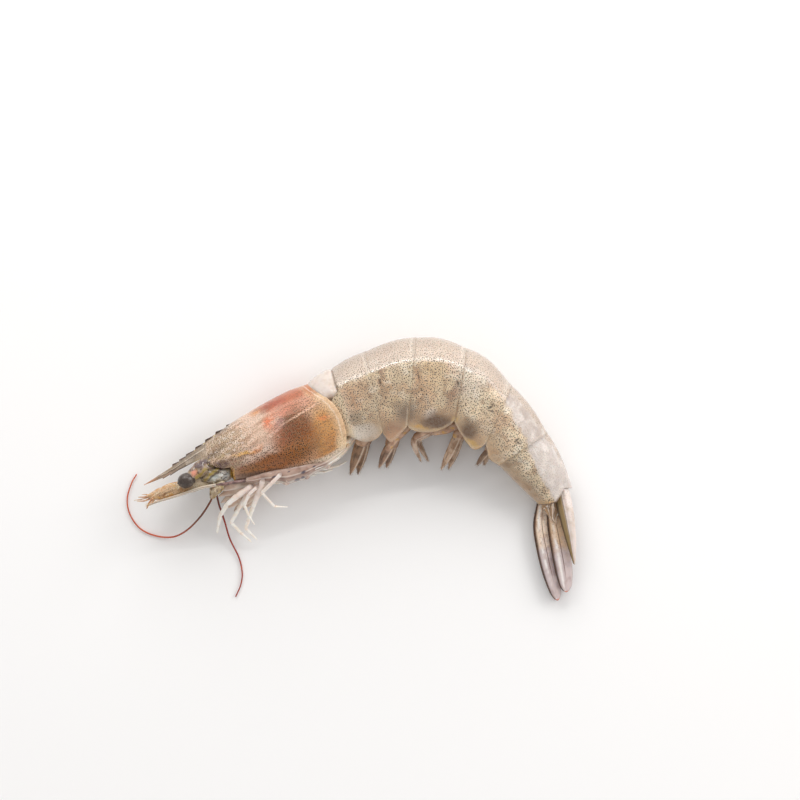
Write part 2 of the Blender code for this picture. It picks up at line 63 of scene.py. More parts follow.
SHOULDER = 0.42
SIDE_TAPER = 0.14
PLEURON_THICK = 0.6
BELLY_DEPTH = 0.76
SHOULDER_POINTS = 30
PLATE_POINTS = 26
INNER_POINTS = 8
RING_6_POINTS = 74
KEEL_POWER = 0.72
PLEURON_HEM = 0.8      # how far the plate's inner face draws in on its way up
HINGE_DENT = (0.4, 0.7)      # depth and radius of the dimple at each hinge
HINGE_RIM = (0.12, 1.6)      # height and radius of the swelling round it
RING_6_TAPER = 0.6
RING_6_END = (      # place down the rear edge of the last ring, how far out it stands there
    (0.0, 0.0), (0.2, -1.1), (0.36, 0.2), (0.55, 1.5), (0.75, 1.2), (1.0, 0.0))


def blend(rows, at):
    """Smooth curve through the rows, where row k is met at = k; at may run a little past either end."""
    rows = np.asarray(rows, dtype=float)
    k = int(max(0, min(math.floor(at), len(rows) - 2)))
    f = at - k
    here, there = rows[k], rows[k + 1]
    before = rows[k - 1] if k > 0 else 2 * here - there
    after = rows[k + 2] if k + 2 < len(rows) else 2 * there - here
    return 0.5 * (2 * here + (there - before) * f
                  + (2 * before - 5 * here + 4 * there - after) * f ** 2
                  + (3 * here - before - 3 * there + after) * f ** 3)


def solid(name, places, faces, marks=None, sharp_deg=50.0):
    """An object from points in millimetres; marks are numbers kept on the points for the material."""
    mesh = bpy.data.meshes.new(name)
    mesh.from_pydata([tuple(p * MM) for p in np.asarray(places, dtype=float)], [], faces)
    for mark, numbers in (marks or {}).items():
        kept = mesh.attributes.new(mark, "FLOAT", "POINT").data
        kept.foreach_set("value", np.asarray(numbers, dtype=float))
    mesh.validate()
    mesh.shade_smooth()
    mesh.set_sharp_from_angle(angle=math.radians(sharp_deg))
    piece = bpy.data.objects.new(name, mesh)
    bpy.context.scene.collection.objects.link(piece)
    return piece


def skin_faces(rows, count, start=0):
    """Faces of a closed body of rings of equally many points, numbered ring by ring from start."""
    near = start + np.arange(rows * count).reshape(rows, count)
    ahead = np.roll(near, -1, axis=1)
    quads = np.stack([near[:-1], ahead[:-1], ahead[1:], near[1:]], axis=-1).reshape(-1, 4)
    return [tuple(quad) for quad in quads.tolist()] + [near[0].tolist()[::-1], near[-1].tolist()]


def outward(places, faces):
    """The faces turned so that they look out of the closed body that they make."""
    volume = 0.0
    for face in faces:
        first = places[face[0]]
        for second, third in zip(face[1:-1], face[2:]):
            volume += np.dot(first, np.cross(places[second], places[third]))
    return faces if volume > 0 else [face[::-1] for face in faces]


def skin(name, rings, marks=None, sharp_deg=50.0):
    """A closed body drawn through rings of equally many points, with a flat face at each end.

    Its points also keep how far they lie along the skin and round it, in millimetres.
    """
    rings = np.asarray(rings, dtype=float)
    places = rings.reshape(-1, 3)
    faces = outward(places, skin_faces(*rings.shape[:2]))
    numbers = {mark: np.asarray(values, dtype=float).reshape(-1) for mark, values in (marks or {}).items()}
    steps = np.linalg.norm(np.diff(rings, axis=0), axis=2)
    numbers["lengthwise"] = np.vstack([0 * steps[:1], np.cumsum(steps, axis=0)]).reshape(-1)
    turns = np.linalg.norm(np.roll(rings, -1, axis=1) - rings, axis=2)
    around = np.cumsum(turns, axis=1) - turns
    numbers["around"] = np.minimum(around, turns.sum(axis=1, keepdims=True) - around).reshape(-1)
    return solid(name, places, faces, numbers, sharp_deg)


def smooth(value, low, high):
    """0 below low and 1 above high, smooth in between."""
    value = np.clip((value - low) / (high - low), 0, 1)
    return value * value * (3 - 2 * value)


def sides_of(section):
    """Where a section's back is, the way from there down to its belly, and how far that is."""
    back, belly = section[0:2], section[2:4]
    depth = np.linalg.norm(belly - back)
    return back, (belly - back) / depth, depth


def round_both_sides(flat, mid, widths, depths):
    """A section's points down the left side and up the right, none of them below the floor."""
    left = np.column_stack([flat, np.maximum(mid + widths, FLOOR)])
    right = np.column_stack([flat, np.maximum(mid - widths, FLOOR)])
    return np.concatenate([left, right[-2:0:-1]]), np.concatenate([depths, depths[-2:0:-1]])


def hoop(joint_at, index, share, lift):
    """Section of one abdominal ring and how deep each of its points lies, 0 at the back and 1 at the edge."""
    section = blend(ABDOMEN_JOINTS, joint_at)
    back, down, depth = sides_of(section)
    wide, mid = section[4] + lift, section[5]
    inside = min(max(share, 0.0), 1.0)
    crown = SEGMENT_CROWN[index] * math.sin(math.pi * inside) + lift
    lean = PLEURON_LEAN[index]
    rise = inside / lean if inside < lean else (1.0 - inside) / (1.0 - lean)
    hang = depth + PLEURON_LOBE[index] * math.sin(0.5 * math.pi * rise) ** 0.7 + 0.5 * lift
    if index == 5:
        wide = wide - RING_6_TAPER * smooth(share, 0.7, 1.0)
        turn = np.linspace(0, math.pi, RING_6_POINTS)
        part = 0.5 * (1 - np.cos(turn))
        above = np.clip(2 * part, 0, 1)
        bulge = np.sin(turn) ** 0.8
        roof = np.where(part < 0.5, above ** KEEL_POWER, bulge)
        widths = wide * ((1 - KEEL[5]) * bulge + KEEL[5] * roof)
        reach, depths = depth * part, part
    else:
        turn = np.linspace(0, 0.5 * math.pi, SHOULDER_POINTS)
        part = np.concatenate([SHOULDER * (1 - np.cos(turn)), np.linspace(SHOULDER, 1.0, PLATE_POINTS)[1:]])
        above = np.clip(part / SHOULDER, 0, 1)
        below = np.clip((part - SHOULDER) / (1 - SHOULDER), 0, 1)
        bulge = (1 - KEEL[index]) * np.sqrt(1 - (1 - above) ** 2) + KEEL[index] * above ** KEEL_POWER
        widths = wide * (bulge - SIDE_TAPER * below ** 2)
        reach = np.where(part <= SHOULDER, depth * part,
                         depth * SHOULDER + (hang - depth * SHOULDER) * below)
        climb = np.linspace(0, 1, INNER_POINTS)
        across = np.linspace(1, 0, INNER_POINTS + 1)[1:]
        inner = wide * (1 - SIDE_TAPER) - PLEURON_THICK
        widths = np.concatenate([widths, [widths[-1] - 0.2], inner - PLEURON_HEM * climb ** 2,
                                 (inner - PLEURON_HEM) * across])
        reach = np.concatenate([reach, [hang + 0.12], hang + (depth * BELLY_DEPTH - hang) * climb,
                                depth * BELLY_DEPTH + 0.9 * (1 - across ** 2)])
        depths = np.concatenate([part, [1.0], 1.05 + 0.2 * climb, np.full(len(across), 1.3)])
    reach = reach - crown * np.clip(1 - reach / (0.5 * depth), 0, 1)
    flat = back + np.outer(reach, down)
    if index == 5:
        wave = np.interp(part, *zip(*RING_6_END)) * smooth(share, 0.8, 1.0)
        flat = flat + np.outer(wave, (-down[1], down[0]))
    for hinge in (HINGES[index], HINGES[index + 1]):
        gap = np.linalg.norm(flat - np.array(hinge), axis=1)
        dent, rim = (deep * np.exp(-(gap / radius) ** 2) for deep, radius in (HINGE_DENT, HINGE_RIM))
        widths = widths - (dent - rim) * (depths < 1)
    return round_both_sides(flat, mid, widths, depths)


def hoop_stations(index):
    """Where along the ring the sections stand, and how far each is lifted off the smooth body."""
    if index:
        tuck = [(-0.09 + 0.02 * k, -0.5 + 0.1 * k) for k in range(5)]
    else:
        tuck = [(-0.27 + 0.05 * k, -0.85 + 0.15 * k) for k in range(5)]
    if index == 5:
        end = [(1.0, 0.0), (1.006, -0.12), (1.004, -0.35), (0.985, -0.6), (0.955, -0.8)]
        end += [(0.965, -1.5), (0.985, -2.4), (0.99, -3.2)]         # the soft skin that closes the end
        return tuck + [(t, 0.0) for t in np.linspace(0.03, 0.99, 70)] + end
    body = [(t, 0.0) for t in np.linspace(0.03, 0.86, 46)]
    flare = [(0.86 + 0.18 * k / 10, 0.2 * (k / 10) ** 2) for k in range(1, 11)]
    return tuck + body + flare + [(1.048, 0.16), (1.046, 0.06), (1.02, -0.1), (0.97, -0.4)]


class Wire:
    """One link in a material. Sums on it add Math nodes, and node() puts in any other node."""

    def __init__(self, tree, link=None):
        self.tree, self.link = tree, link

    def node(self, kind, settings=None, sockets=None, take=0):
        made = self.tree.nodes.new(kind)
        for name, value in (settings or {}).items():
            setattr(made, name, value)
        for name, value in (sockets or {}).items():
            if isinstance(value, Wire):
                self.tree.links.new(value.link, made.inputs[name])
            else:
                made.inputs[name].default_value = value
        return Wire(self.tree, made.outputs[take] if made.outputs else None)

    def sum(self, operation, first, second):
        return self.node("ShaderNodeMath", {"operation": operation}, {0: first, 1: second})

    def __add__(self, other):
        return self.sum("ADD", self, other)

    __radd__ = __add__

    def __sub__(self, other):
        return self.sum("SUBTRACT", self, other)

    def __rsub__(self, other):
        return self.sum("SUBTRACT", other, self)

    def __mul__(self, other):
        return self.sum("MULTIPLY", self, other)

    __rmul__ = __mul__

    def ramp(self, low, high):
        """0 below low and 1 above high, smooth in between."""
        return self.node("ShaderNodeMapRange", {"interpolation_type": "SMOOTHSTEP"},
                         {"Value": self, "From Min": low, "From Max": high})

    def fade(self, low, high):
        """1 below low and 0 above high, smooth in between."""
        return 1.0 - self.ramp(low, high)

    def hill(self, middle, half):
        """1 at the middle, falling to 0 a half breadth away."""
        return self.ramp(middle - half, middle) * self.fade(middle, middle + half)

    def mark(self, name):
        """A number kept on the mesh."""
        return self.node("ShaderNodeAttribute", {"attribute_name": name}, take=2)

    def noise(self, size_mm, detail=2.0, take=0):
        """Cloudy unevenness, as a number or, with take=1, as three."""
        return self.node("ShaderNodeTexNoise", None, {"Vector": self, "Scale": 1 / (size_mm * MM),
                                                      "Detail": detail}, take)

    def stray(self, size_mm, by_mm):
        """The place moved about a little, so that what is painted by it has an uneven edge."""
        half = 0.5 * by_mm * MM
        moved = self.node("ShaderNodeVectorMath", {"operation": "MULTIPLY_ADD"},
                          {0: self.noise(size_mm, 3.0, 1), 1: (2 * half, 2 * half, 2 * half), 2: self})
        return self.node("ShaderNodeVectorMath", {"operation": "SUBTRACT"}, {0: moved, 1: (half, half, half)})

    def spread(self, x, y):
        """Two numbers as a place."""
        return self.node("ShaderNodeCombineXYZ", None, {"X": x, "Y": y})

    def specks(self, cell_mm, size, least=0.35):
        """Round pigment spots on the skin, a cell apart, up to size of a cell in radius."""
        cells = {"Vector": self.spread(self.mark("lengthwise"), self.mark("around")), "Scale": 1 / cell_mm}
        gap, luck = (self.node("ShaderNodeTexVoronoi", {"voronoi_dimensions": "2D"}, cells, take)
                     for take in (0, 1))
        luck = self.node("ShaderNodeSeparateColor", None, {"Color": luck})
        return ((luck * (1 - least) + least) * size - gap).ramp(-0.04, 0.06)

    def streaks(self, along, around, detail, scale=1.0):
        """Uneven streaks; along and around say how quickly they change along the skin and round it."""
        place = self.spread(self.mark("lengthwise") * along, self.mark("around") * around)
        return self.node("ShaderNodeTexNoise", None, {"Vector": place, "Scale": scale, "Detail": detail})

    def patch(self, x, y, along_mm, across_mm, tilt_deg, soft=0.5):
        """A soft oval area of the side, seen square on."""
        local = self.node("ShaderNodeMapping", {"vector_type": "TEXTURE"},
                          {"Vector": self, "Location": (x * MM, y * MM, 0.0),
                           "Rotation": (0.0, 0.0, math.radians(tilt_deg)),
                           "Scale": (along_mm * MM, across_mm * MM, 1.0)})
        reach = self.node("ShaderNodeVectorMath", {"operation": "LENGTH"}, {0: local}, take=1)
        return reach.fade(1.0 - soft, 1.0 + soft)


def seen(red, green, blue):
    """A colour as seen on screen, 0 to 255, as the light it stands for."""
    def light(value):
        value /= 255.0
        return value / 12.92 if value <= 0.04045 else ((value + 0.055) / 1.055) ** 2.4
    return (light(red), light(green), light(blue), 1.0)


def paint(under, colour, mask):
    """A colour laid over what is there where the mask is 1."""
    over = seen(*colour) if isinstance(colour, tuple) else colour
    under = seen(*under) if isinstance(under, tuple) else under
    return mask.node("ShaderNodeMix", {"data_type": "RGBA"}, {0: mask, 6: under, 7: over}, take=2)


def coats(tone, rows):
    """Colours laid over one another, each where its mask is 1."""
    for colour, mask in rows:
        tone = paint(tone, colour, mask)
    return tone


def soft_ovals(tone, at, rows):
    """Soft ovals over it; x, y, half length, half breadth, tilt, softness, strength and colour of each."""
    for *oval, strength, colour in rows:
        tone = paint(tone, colour, at.patch(*oval) * strength)
    return tone


def mottles(tone, at, rows):
    """Cloudy blotches over it; each its size, detail, where it starts and is full, strength and colour."""
    for size, detail, low, high, strength, colour in rows:
        tone = paint(tone, colour, at.noise(size, detail).ramp(low, high) * strength)
    return tone


def new_stuff(name):
    """A new material and, as a link in it, where each point lies on its object, in metres."""
    stuff = bpy.data.materials.new(name)
    stuff.use_nodes = True
    stuff.node_tree.nodes.clear()
    return stuff, Wire(stuff.node_tree).node("ShaderNodeTexCoord", take=3)


def wet(colour, relief=None, relief_mm=0.05, roughness=0.42, film=0.9, film_rough=0.08, glow=0.2, alpha=None):
    """Wet shell or flesh: soft light inside it and a film of water over it."""
    sockets = {"Base Color": colour, "Roughness": roughness, "Subsurface Weight": glow,
               "Subsurface Radius": (1.0, 0.6, 0.4), "Subsurface Scale": 1.6 * MM,
               "Coat Weight": film, "Coat Roughness": film_rough, "Coat IOR": 1.36, "IOR": 1.22}
    if relief is not None:
        bump = {"Height": relief, "Distance": relief_mm * MM}
        sockets["Normal"] = colour.node("ShaderNodeBump", None, bump)
    if alpha is not None:
        sockets["Alpha"] = alpha
    shader = colour.node("ShaderNodeBsdfPrincipled", None, sockets)
    colour.node("ShaderNodeOutputMaterial", None, {"Surface": shader})


def fit(piece, stuff, node):
    """The piece gets its material and takes its solid's place on the body."""
    piece.data.materials.append(stuff)
    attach(piece, "root")
    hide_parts(node)


GLARE_LEFT = (      # the painted reflection band on the last two rings, a white glare of the lights, lies between this line and the next
    (26.6, 0.4), (27.75, -2.06), (31.4, -8.95), (34.6, -14.6), (36.6, -20.2), (41.5, -30.0), (43.0, -33.0))
GLARE_RIGHT = (
    (27.6, 1.2), (29.4, -0.85), (34.2, -4.9), (39.1, -11.4), (44.7, -19.5), (48.6, -26.4), (50.4, -29.6))


def beside(flat, points):
    """How far each place lies to the left of a chain of straight runs, less than 0 to its right."""
    flat = np.asarray(flat, dtype=float)
    least = np.full(len(flat), 1e9)
    for start, stop in zip(points, points[1:]):
        start, run = np.array(start), np.array(stop) - np.array(start)
        along = np.clip(((flat - start) @ run) / (run @ run), 0, 1)
        off = flat - start - along[:, None] * run
        gap = np.linalg.norm(off, axis=1) * np.where(run[0] * off[:, 1] - run[1] * off[:, 0] < 0, -1, 1)
        least = np.where(np.abs(gap) < np.abs(least), gap, least)
    return least


STAINS_AND_HIGHLIGHTS = (      # x, y, half length, half breadth, tilt, softness, strength, colour laid on the flank; three rows are painted highlights
    (-15.8, -7, 2.2, 5.4, 12, 0.6, 0.6, (206, 186, 166)),
    (-12, -2.4, 4, 3.8, 30, 0.7, 0.55, (184, 146, 116)),
    (-12.3, -8.9, 1.9, 1.6, 40, 0.7, 0.5, (112, 98, 84)),
    (-9.6, -13, 3.6, 2.2, 10, 0.5, 0.75, (184, 174, 164)),
    (-2.2, -13.2, 3.4, 2.6, 30, 0.5, 0.85, (150, 116, 94)),
    (-1, -4, 3.6, 5, 10, 0.7, 0.45, (184, 160, 128)),
    (1.8, -7.6, 3, 2.6, 30, 0.7, 0.85, (116, 97, 84)),
    (10.2, -10.4, 4.6, 2.3, 0, 0.6, 0.92, (92, 70, 58)),
    (8.4, -7.7, 1.7, 1.1, 20, 0.9, 0.45, (204, 194, 188)),
    (4.9, 3, 0.5, 1.9, 4, 0.8, 0.7, (146, 104, 80)),
    (6.6, -2.4, 0.6, 3.6, 18, 0.8, 0.5, (150, 122, 98)),
    (15.2, -1.6, 1, 4.4, -24, 0.8, 0.6, (140, 108, 88)),
    # the next two rows are painted highlights: small white glints on the back
    (11, 7.1, 1.6, 0.6, -10, 0.8, 0.9, (246, 234, 222)),
    (19.2, 4.4, 1.3, 0.6, -30, 0.8, 0.9, (246, 238, 232)),
    (20.4, 1, 3.4, 5, -20, 0.7, 0.5, (208, 198, 188)),
    (-5, 3, 0.5, 1.6, 14, 0.8, 0.6, (140, 106, 84)),
    (-4.4, -3.4, 0.5, 3.4, 14, 0.8, 0.4, (150, 122, 98)),
    (-12.4, -14.2, 3.2, 2.2, 0, 0.6, 0.8, (214, 204, 192)),
    (-1.6, -15, 3.6, 2, 10, 0.6, 0.7, (184, 146, 118)),
    (5.9, -11.8, 2.4, 0.5, -15, 0.7, 0.7, (190, 150, 84)),
    (15.2, -9.9, 0.9, 1, 0, 0.7, 0.7, (196, 160, 96)),
    (9.6, 3, 4.4, 4.6, 0, 0.7, 0.5, (202, 172, 134)),
    (19.4, -12.6, 2.8, 2.6, 0, 0.6, 0.92, (94, 72, 58)),
    (20.4, -16.6, 3.4, 0.8, -24, 0.7, 0.75, (184, 148, 82)),
    # the next row is a painted highlight where rings 3 and 4 meet
    (15.9, 6.6, 2, 3.6, -16, 0.7, 0.7, (224, 210, 196)),
    (24, -12, 3, 4, 30, 0.7, 0.4, (176, 146, 118)),
    (-14.4, -13, 1.6, 3, 10, 0.6, 0.8, (232, 214, 190)),
)
PLUG_SHARE = 1.02      # marks the soft skin in the last ring's open end
NEARBY = 14.0      # an oval further off than this doesn't reach the ring
HINGE_MARKS = ((-5.6, 0.9, 0.3, 0.9, 20.0), (5.2, 2.2, 0.2, 0.7, 4.0), (25.0, -6.3, 0.8, 0.3, 30.0),
               (25.5, -7.3, 0.6, 0.3, -20.0), (32.6, -15.4, 0.8, 0.3, 40.0), (33.2, -16.3, 0.6, 0.3, -10.0),
               (16.1, 0.4, 0.25, 0.8, 15.0))
for index in range(6):
    stuff, at = new_stuff(f"abdomen_shell_{index + 1}")
    loose = at.stray(3.0, 2.4)
    depth, share = at.mark("depth"), at.mark("share")
    cloud, fine = at.noise(5.0, 3.0), at.noise(0.8, 2.0)
    pale, dull = ((214, 192, 162), (192, 172, 146)) if index < 3 else ((228, 207, 178), (206, 187, 160))
    tone = paint(pale, dull, cloud.ramp(0.4, 0.6))
    tone = mottles(tone, loose, (
        (8, 2, 0.48, 0.6, 0.6, (186, 146, 116)),
        (3, 4, 0.5, 0.62, 0.6, (140, 110, 86)),
        (3.8, 4, 0.54, 0.64, 0.65, (226, 214, 196)),
    ))
    tone = paint(tone, (166, 136, 106), depth.ramp(0.6, 0.9) * 0.7)
    middle = 0.5 * (HINGES[index][0] + HINGES[index + 1][0])
    tone = soft_ovals(tone, loose, [row for row in STAINS_AND_HIGHLIGHTS if abs(row[0] - middle) < NEARBY])
    # painted reflection: the back above the shoulder is painted paler, as the lights' shine on it, and greyer
    # right at its edge; on the first three rings a painted highlight line runs along the shoulder
    tone = paint(tone, (202, 185, 173), depth.fade(0.23, 0.29) * 0.8)
    tone = paint(tone, (176, 160, 148), depth.fade(0.02, 0.2) * 0.6)
    if index < 3:
        painted_highlight_line = depth.hill(0.256, 0.06) + (at.noise(2.4, 4.0) - 0.5) * 1.4
        tone = paint(tone, (240, 226, 214), painted_highlight_line.ramp(0.3, 1.2) * 0.75)
    seam = share.hill(0.98, 0.05) * depth.ramp(0.1, 0.3)
    tone = coats(tone, (
        ((214, 196, 172), seam * at.noise(2.6).ramp(0.4, 0.6) * 0.4),
        # painted shade: a thin dark line along the ring's rear edge; the next row is a painted glint on the
        # back just in front of it
        ((140, 112, 88), share.hill(1.04, 0.02) * (depth.ramp(0.1, 0.3) * 0.2 + 0.35)),
        ((232, 220, 208), share.hill(0.95, 0.05) * depth.fade(0.2, 0.3) * 0.35),
    ))
    if index in (1, 2):
        tone = paint(tone, (146, 118, 92), share.ramp(0.98, 1.03) * depth.ramp(0.6, 0.8) * 0.75)
    if index:
        # painted shade: darker along the front, where the ring runs in under the one before
        tone = paint(tone, (150, 124, 100), share.fade(0.0, 0.06) * 0.4)
    else:
        tone = paint(tone, (214, 194, 164), share.fade(0.0, 0.14) * depth.ramp(0.25, 0.4) * 0.8)
        tone = paint(tone, (112, 88, 72), share.hill(-0.02, 0.04) * depth.fade(0.3, 0.38) * 0.8)
    tone = paint(tone, (210, 190, 172), depth.ramp(1.02, 1.08) * 0.9)
    tone = paint(tone, (184, 150, 134), depth.ramp(1.1, 1.2) * share.hill(0.9, 0.16) * 0.7)
    rim = (depth + (at.noise(2.4, 3.0) - 0.5) * 0.05).hill(0.985, 0.03)
    tone = paint(tone, (190, 152, 98), rim * at.noise(3.6, 2.0).ramp(0.45, 0.65) * 0.6)
    tone = paint(tone, (196, 184, 170), rim * 0.3)
    dark = [(*row, 0.6, 0.8, (70, 54, 44)) for row in HINGE_MARKS if abs(row[0] - middle) < NEARBY]
    tone = soft_ovals(tone, at.stray(0.8, 0.5), dark)
    low_down = (depth + (at.noise(3.0) - 0.5) * 0.2).ramp(0.76, 0.92)
    stipple = 0.9 - low_down * 0.6 - depth.fade(0.16, 0.3) * 0.3
    stipple = stipple * (1.0 - depth.ramp(1.02, 1.08) * 0.9)
    if index > 3:
        # painted reflection: the white glare of the lights across the wet backs of the last two rings, with a
        # ragged edge; it also washes out most of the dots
        glare_band = (at.mark("glare") + (at.noise(1.8, 5.0) - 0.5) * 3.2).ramp(-0.5, 0.9)
        tone = coats(tone, (
            ((180, 167, 160) if index == 4 else (202, 192, 187), glare_band * 0.92),
            ((228, 220, 214), glare_band * at.noise(2.6, 4.0).ramp(0.44, 0.68) * 0.5),
            ((186, 172, 166), glare_band * at.noise(1.2, 5.0).ramp(0.56, 0.72) * 0.25),
        ))
        stipple = stipple * (1.0 - glare_band * 0.72)
    if index == 5:
        tone = coats(tone, (
            ((190, 150, 96), share.ramp(0.9, 0.97) * depth.ramp(0.5, 0.7) * 0.7),
            ((104, 78, 56), share.ramp(0.972, 0.995) * depth.ramp(0.2, 0.6) * 0.9),
            ((184, 154, 128), share.ramp(1.006, 1.012) * 0.9),
        ))
    dots = at.specks(0.53, 0.34, 0.6)
    tone = coats(tone, (
        ((96, 78, 62), at.specks(0.4, 0.26) * stipple * 0.35),
        ((240, 228, 206), at.specks(0.53, 0.55, 0.6) * stipple * 0.25),
        ((44, 32, 24), dots * stipple),
    ))
    wet(tone, fine + cloud - dots * 0.25, 0.07)
    rings, depths, shares, glare = [], [], [], []        # how far inside the painted reflection band each point lies
    for station, lift in hoop_stations(index):
        ring, ring_depths = hoop(index + station, index, station, lift)
        if index == 0 and station < 0:      # the back ends in a lip, the sides run on under the shell
            lip, ring_depths = hoop(0.2 * station, index, station, lift)
            ring = lip + (ring - lip) * smooth(ring_depths, 0.3, 0.46)[:, None]
        rings.append(ring)
        depths.append(ring_depths)
        plug = index == 5 and lift < -0.7
        shares.append(np.full(len(ring_depths), PLUG_SHARE if plug else station))
        glare.append(np.minimum(beside(ring[:, :2], GLARE_LEFT), -beside(ring[:, :2], GLARE_RIGHT)))
    marks = {"depth": depths, "share": shares, "glare": glare}
    fit(skin(f"abdomen_ring_{index + 1}", rings, marks), stuff, f"abdomen_{index + 1}")


# ---- Carapace ----------------------------------------------------------------------------------------
# One stiff, clear shell over the head and breast: pink and red organs show through near the back, the brown
# and amber liver behind, grey speckled flesh in front. A groove and a few low ridges cross its side.

CARAPACE_SECTIONS = (   # back x, y; belly x, y; half width
    (-26.0, 0.2, -14.3, -16.9, 8.9),
    (-30.8, -1.4, -20.7, -20.9, 9.4),
    (-36.4, -4.2, -28.6, -23.0, 9.2),
    (-42.0, -7.4, -35.8, -24.6, 8.1),
    (-47.6, -10.9, -41.4, -25.8, 6.7),
    (-54.4, -16.2, -46.2, -26.7, 4.6),
)
MID = 9.2      # height of the head's middle plane over the floor
CARAPACE_POINTS = (34, 36)      # above and below the widest place of a section
CARAPACE_THICK = 0.8
CORNER_FROM = 0.82
LAST_RINGS = 4      # these close the front and are seen from inside
CARAPACE_WIDEST = 0.50
CARAPACE_TUCK = 0.34
REAR_BOW = 2.9
REAR_CORNER = 1.3      # how far the lower rear corner is rounded off
FRONT_WAVE = ((0.0, 0.0), (0.12, -1.1), (0.25, -2.1), (0.40, -2.2), (0.55, -1.5), (0.66, -0.2), (0.73, 1.4),
              (0.80, 1.4), (0.90, 0.7), (1.0, 0.0))   # place down the front edge, how far back it stands
CARAPACE_LINES = (      # points along each ridge (raised) or groove (sunk) of the side, height and width
    (((-48.6, -19.5), (-44.6, -18.7), (-41.1, -17.8), (-38.0, -15.6)), -0.32, 0.50),
    (((-44.6, -23.2), (-42.0, -21.0), (-39.4, -19.6)), -0.22, 0.45),
    (((-33.7, -8.9), (-30.9, -8.6), (-26.0, -6.3), (-21.8, -3.8)), 0.34, 0.42),
    (((-61.6, -23.8), (-56.0, -17.4), (-50.4, -14.1), (-44.8, -9.8)), 0.26, 0.42),
    (((-46.0, -25.0), (-36.0, -23.4), (-29.0, -22.0), (-22.0, -20.2), (-15.6, -16.6)), 0.20, 0.38),
    (((-15.2, -9.4), (-15.4, -12.6), (-14.6, -15.6)), 0.16, 0.35),
)
ORGANS = (      # x, y, half length, half breadth, tilt, softness, strength, colour seen through
    (-42, -14, 7.5, 4.6, 26, 0.6, 0.85, (214, 182, 160)),
    (-49.7, -16.6, 5.5, 3.4, 30, 0.6, 0.85, (176, 158, 136)),
    (-47, -21.8, 3.4, 2.6, 0, 0.7, 0.8, (170, 142, 114)),
    (-27, -4.6, 5.4, 2.9, 27, 0.5, 0.9, (196, 138, 112)),
    (-32, -3.4, 9.4, 1.6, 24.5, 0.5, 0.85, (180, 96, 66)),
    (-35.6, -5.5, 3.4, 1.5, 26, 0.6, 0.75, (160, 72, 54)),
    (-32, -7.2, 3.8, 1.9, 32, 0.7, 0.85, (198, 124, 98)),
    (-35.9, -8.4, 1.1, 2.6, -8, 0.7, 0.6, (208, 132, 104)),
    (-20, -13.6, 5.6, 8.6, 12, 0.45, 0.95, (197, 143, 84)),
    (-28.6, -15.6, 6.4, 4.2, 30, 0.45, 0.95, (160, 98, 48)),
    (-28.6, -11.4, 4.4, 4, 40, 0.45, 0.95, (130, 74, 42)),
    (-31.4, -12.4, 2.2, 4, -20, 0.5, 0.75, (116, 66, 44)),
    (-35, -21.8, 9.6, 2.8, 17, 0.4, 0.95, (148, 84, 32)),
    (-26.4, -18.4, 4.2, 1.8, 22, 0.7, 0.7, (136, 84, 36)),
    (-21.2, -9.2, 1.6, 0.5, 0, 0.8, 0.7, (222, 134, 84)),
    (-24.6, -20.8, 5.2, 1.6, 22, 0.6, 0.6, (172, 108, 50)),
    (-33.4, -14.9, 3, 2.6, 20, 0.7, 0.5, (172, 102, 74)),
    (-33.9, -11, 1.2, 2, -14, 0.6, 0.6, (206, 160, 150)),
    (-36.8, -10.4, 1.3, 1.7, 0, 0.9, 0.75, (224, 116, 72)),
    (-34.8, -12.2, 1.8, 1.3, 30, 0.9, 0.35, (190, 104, 74)),
    (-40.6, -8, 1.5, 0.6, 27, 0.7, 0.7, (206, 138, 72)),
    (-18.9, -15.9, 2.2, 2.6, 10, 0.7, 0.5, (176, 112, 62)),
    (-43.5, -19.2, 2.8, 0.6, 9, 0.7, 0.9, (214, 160, 70)),
    (-39.8, -18.2, 2.2, 0.9, 40, 0.7, 0.7, (206, 128, 74)),
    (-42.6, -23.6, 4, 1.3, 12, 0.6, 0.7, (146, 100, 60)),
    (-39, -24.8, 7, 0.9, 8, 0.6, 0.8, (74, 50, 34)),
    (-46.6, -24.9, 0.6, 1.9, 6, 0.5, 0.9, (204, 158, 72)),
    (-51.4, -18.8, 3, 0.8, 38, 0.7, 0.7, (104, 90, 76)),
    (-49.6, -12.6, 4.4, 0.5, 36, 0.7, 0.75, (92, 82, 76)),
    (-49.8, -21.9, 1.9, 0.9, 8, 0.7, 0.85, (92, 70, 72)),
    (-52.8, -19.6, 1.9, 0.7, 42, 0.8, 0.7, (88, 78, 72)),
    (-49.4, -19.5, 1.5, 0.5, 30, 0.8, 0.6, (150, 130, 76)),
    (-45.2, -20.4, 3.6, 0.3, 14, 0.8, 0.7, (112, 88, 76)),
    (-33, -10.8, 1.3, 1.1, 0, 0.9, 0.6, (132, 90, 92)),
)


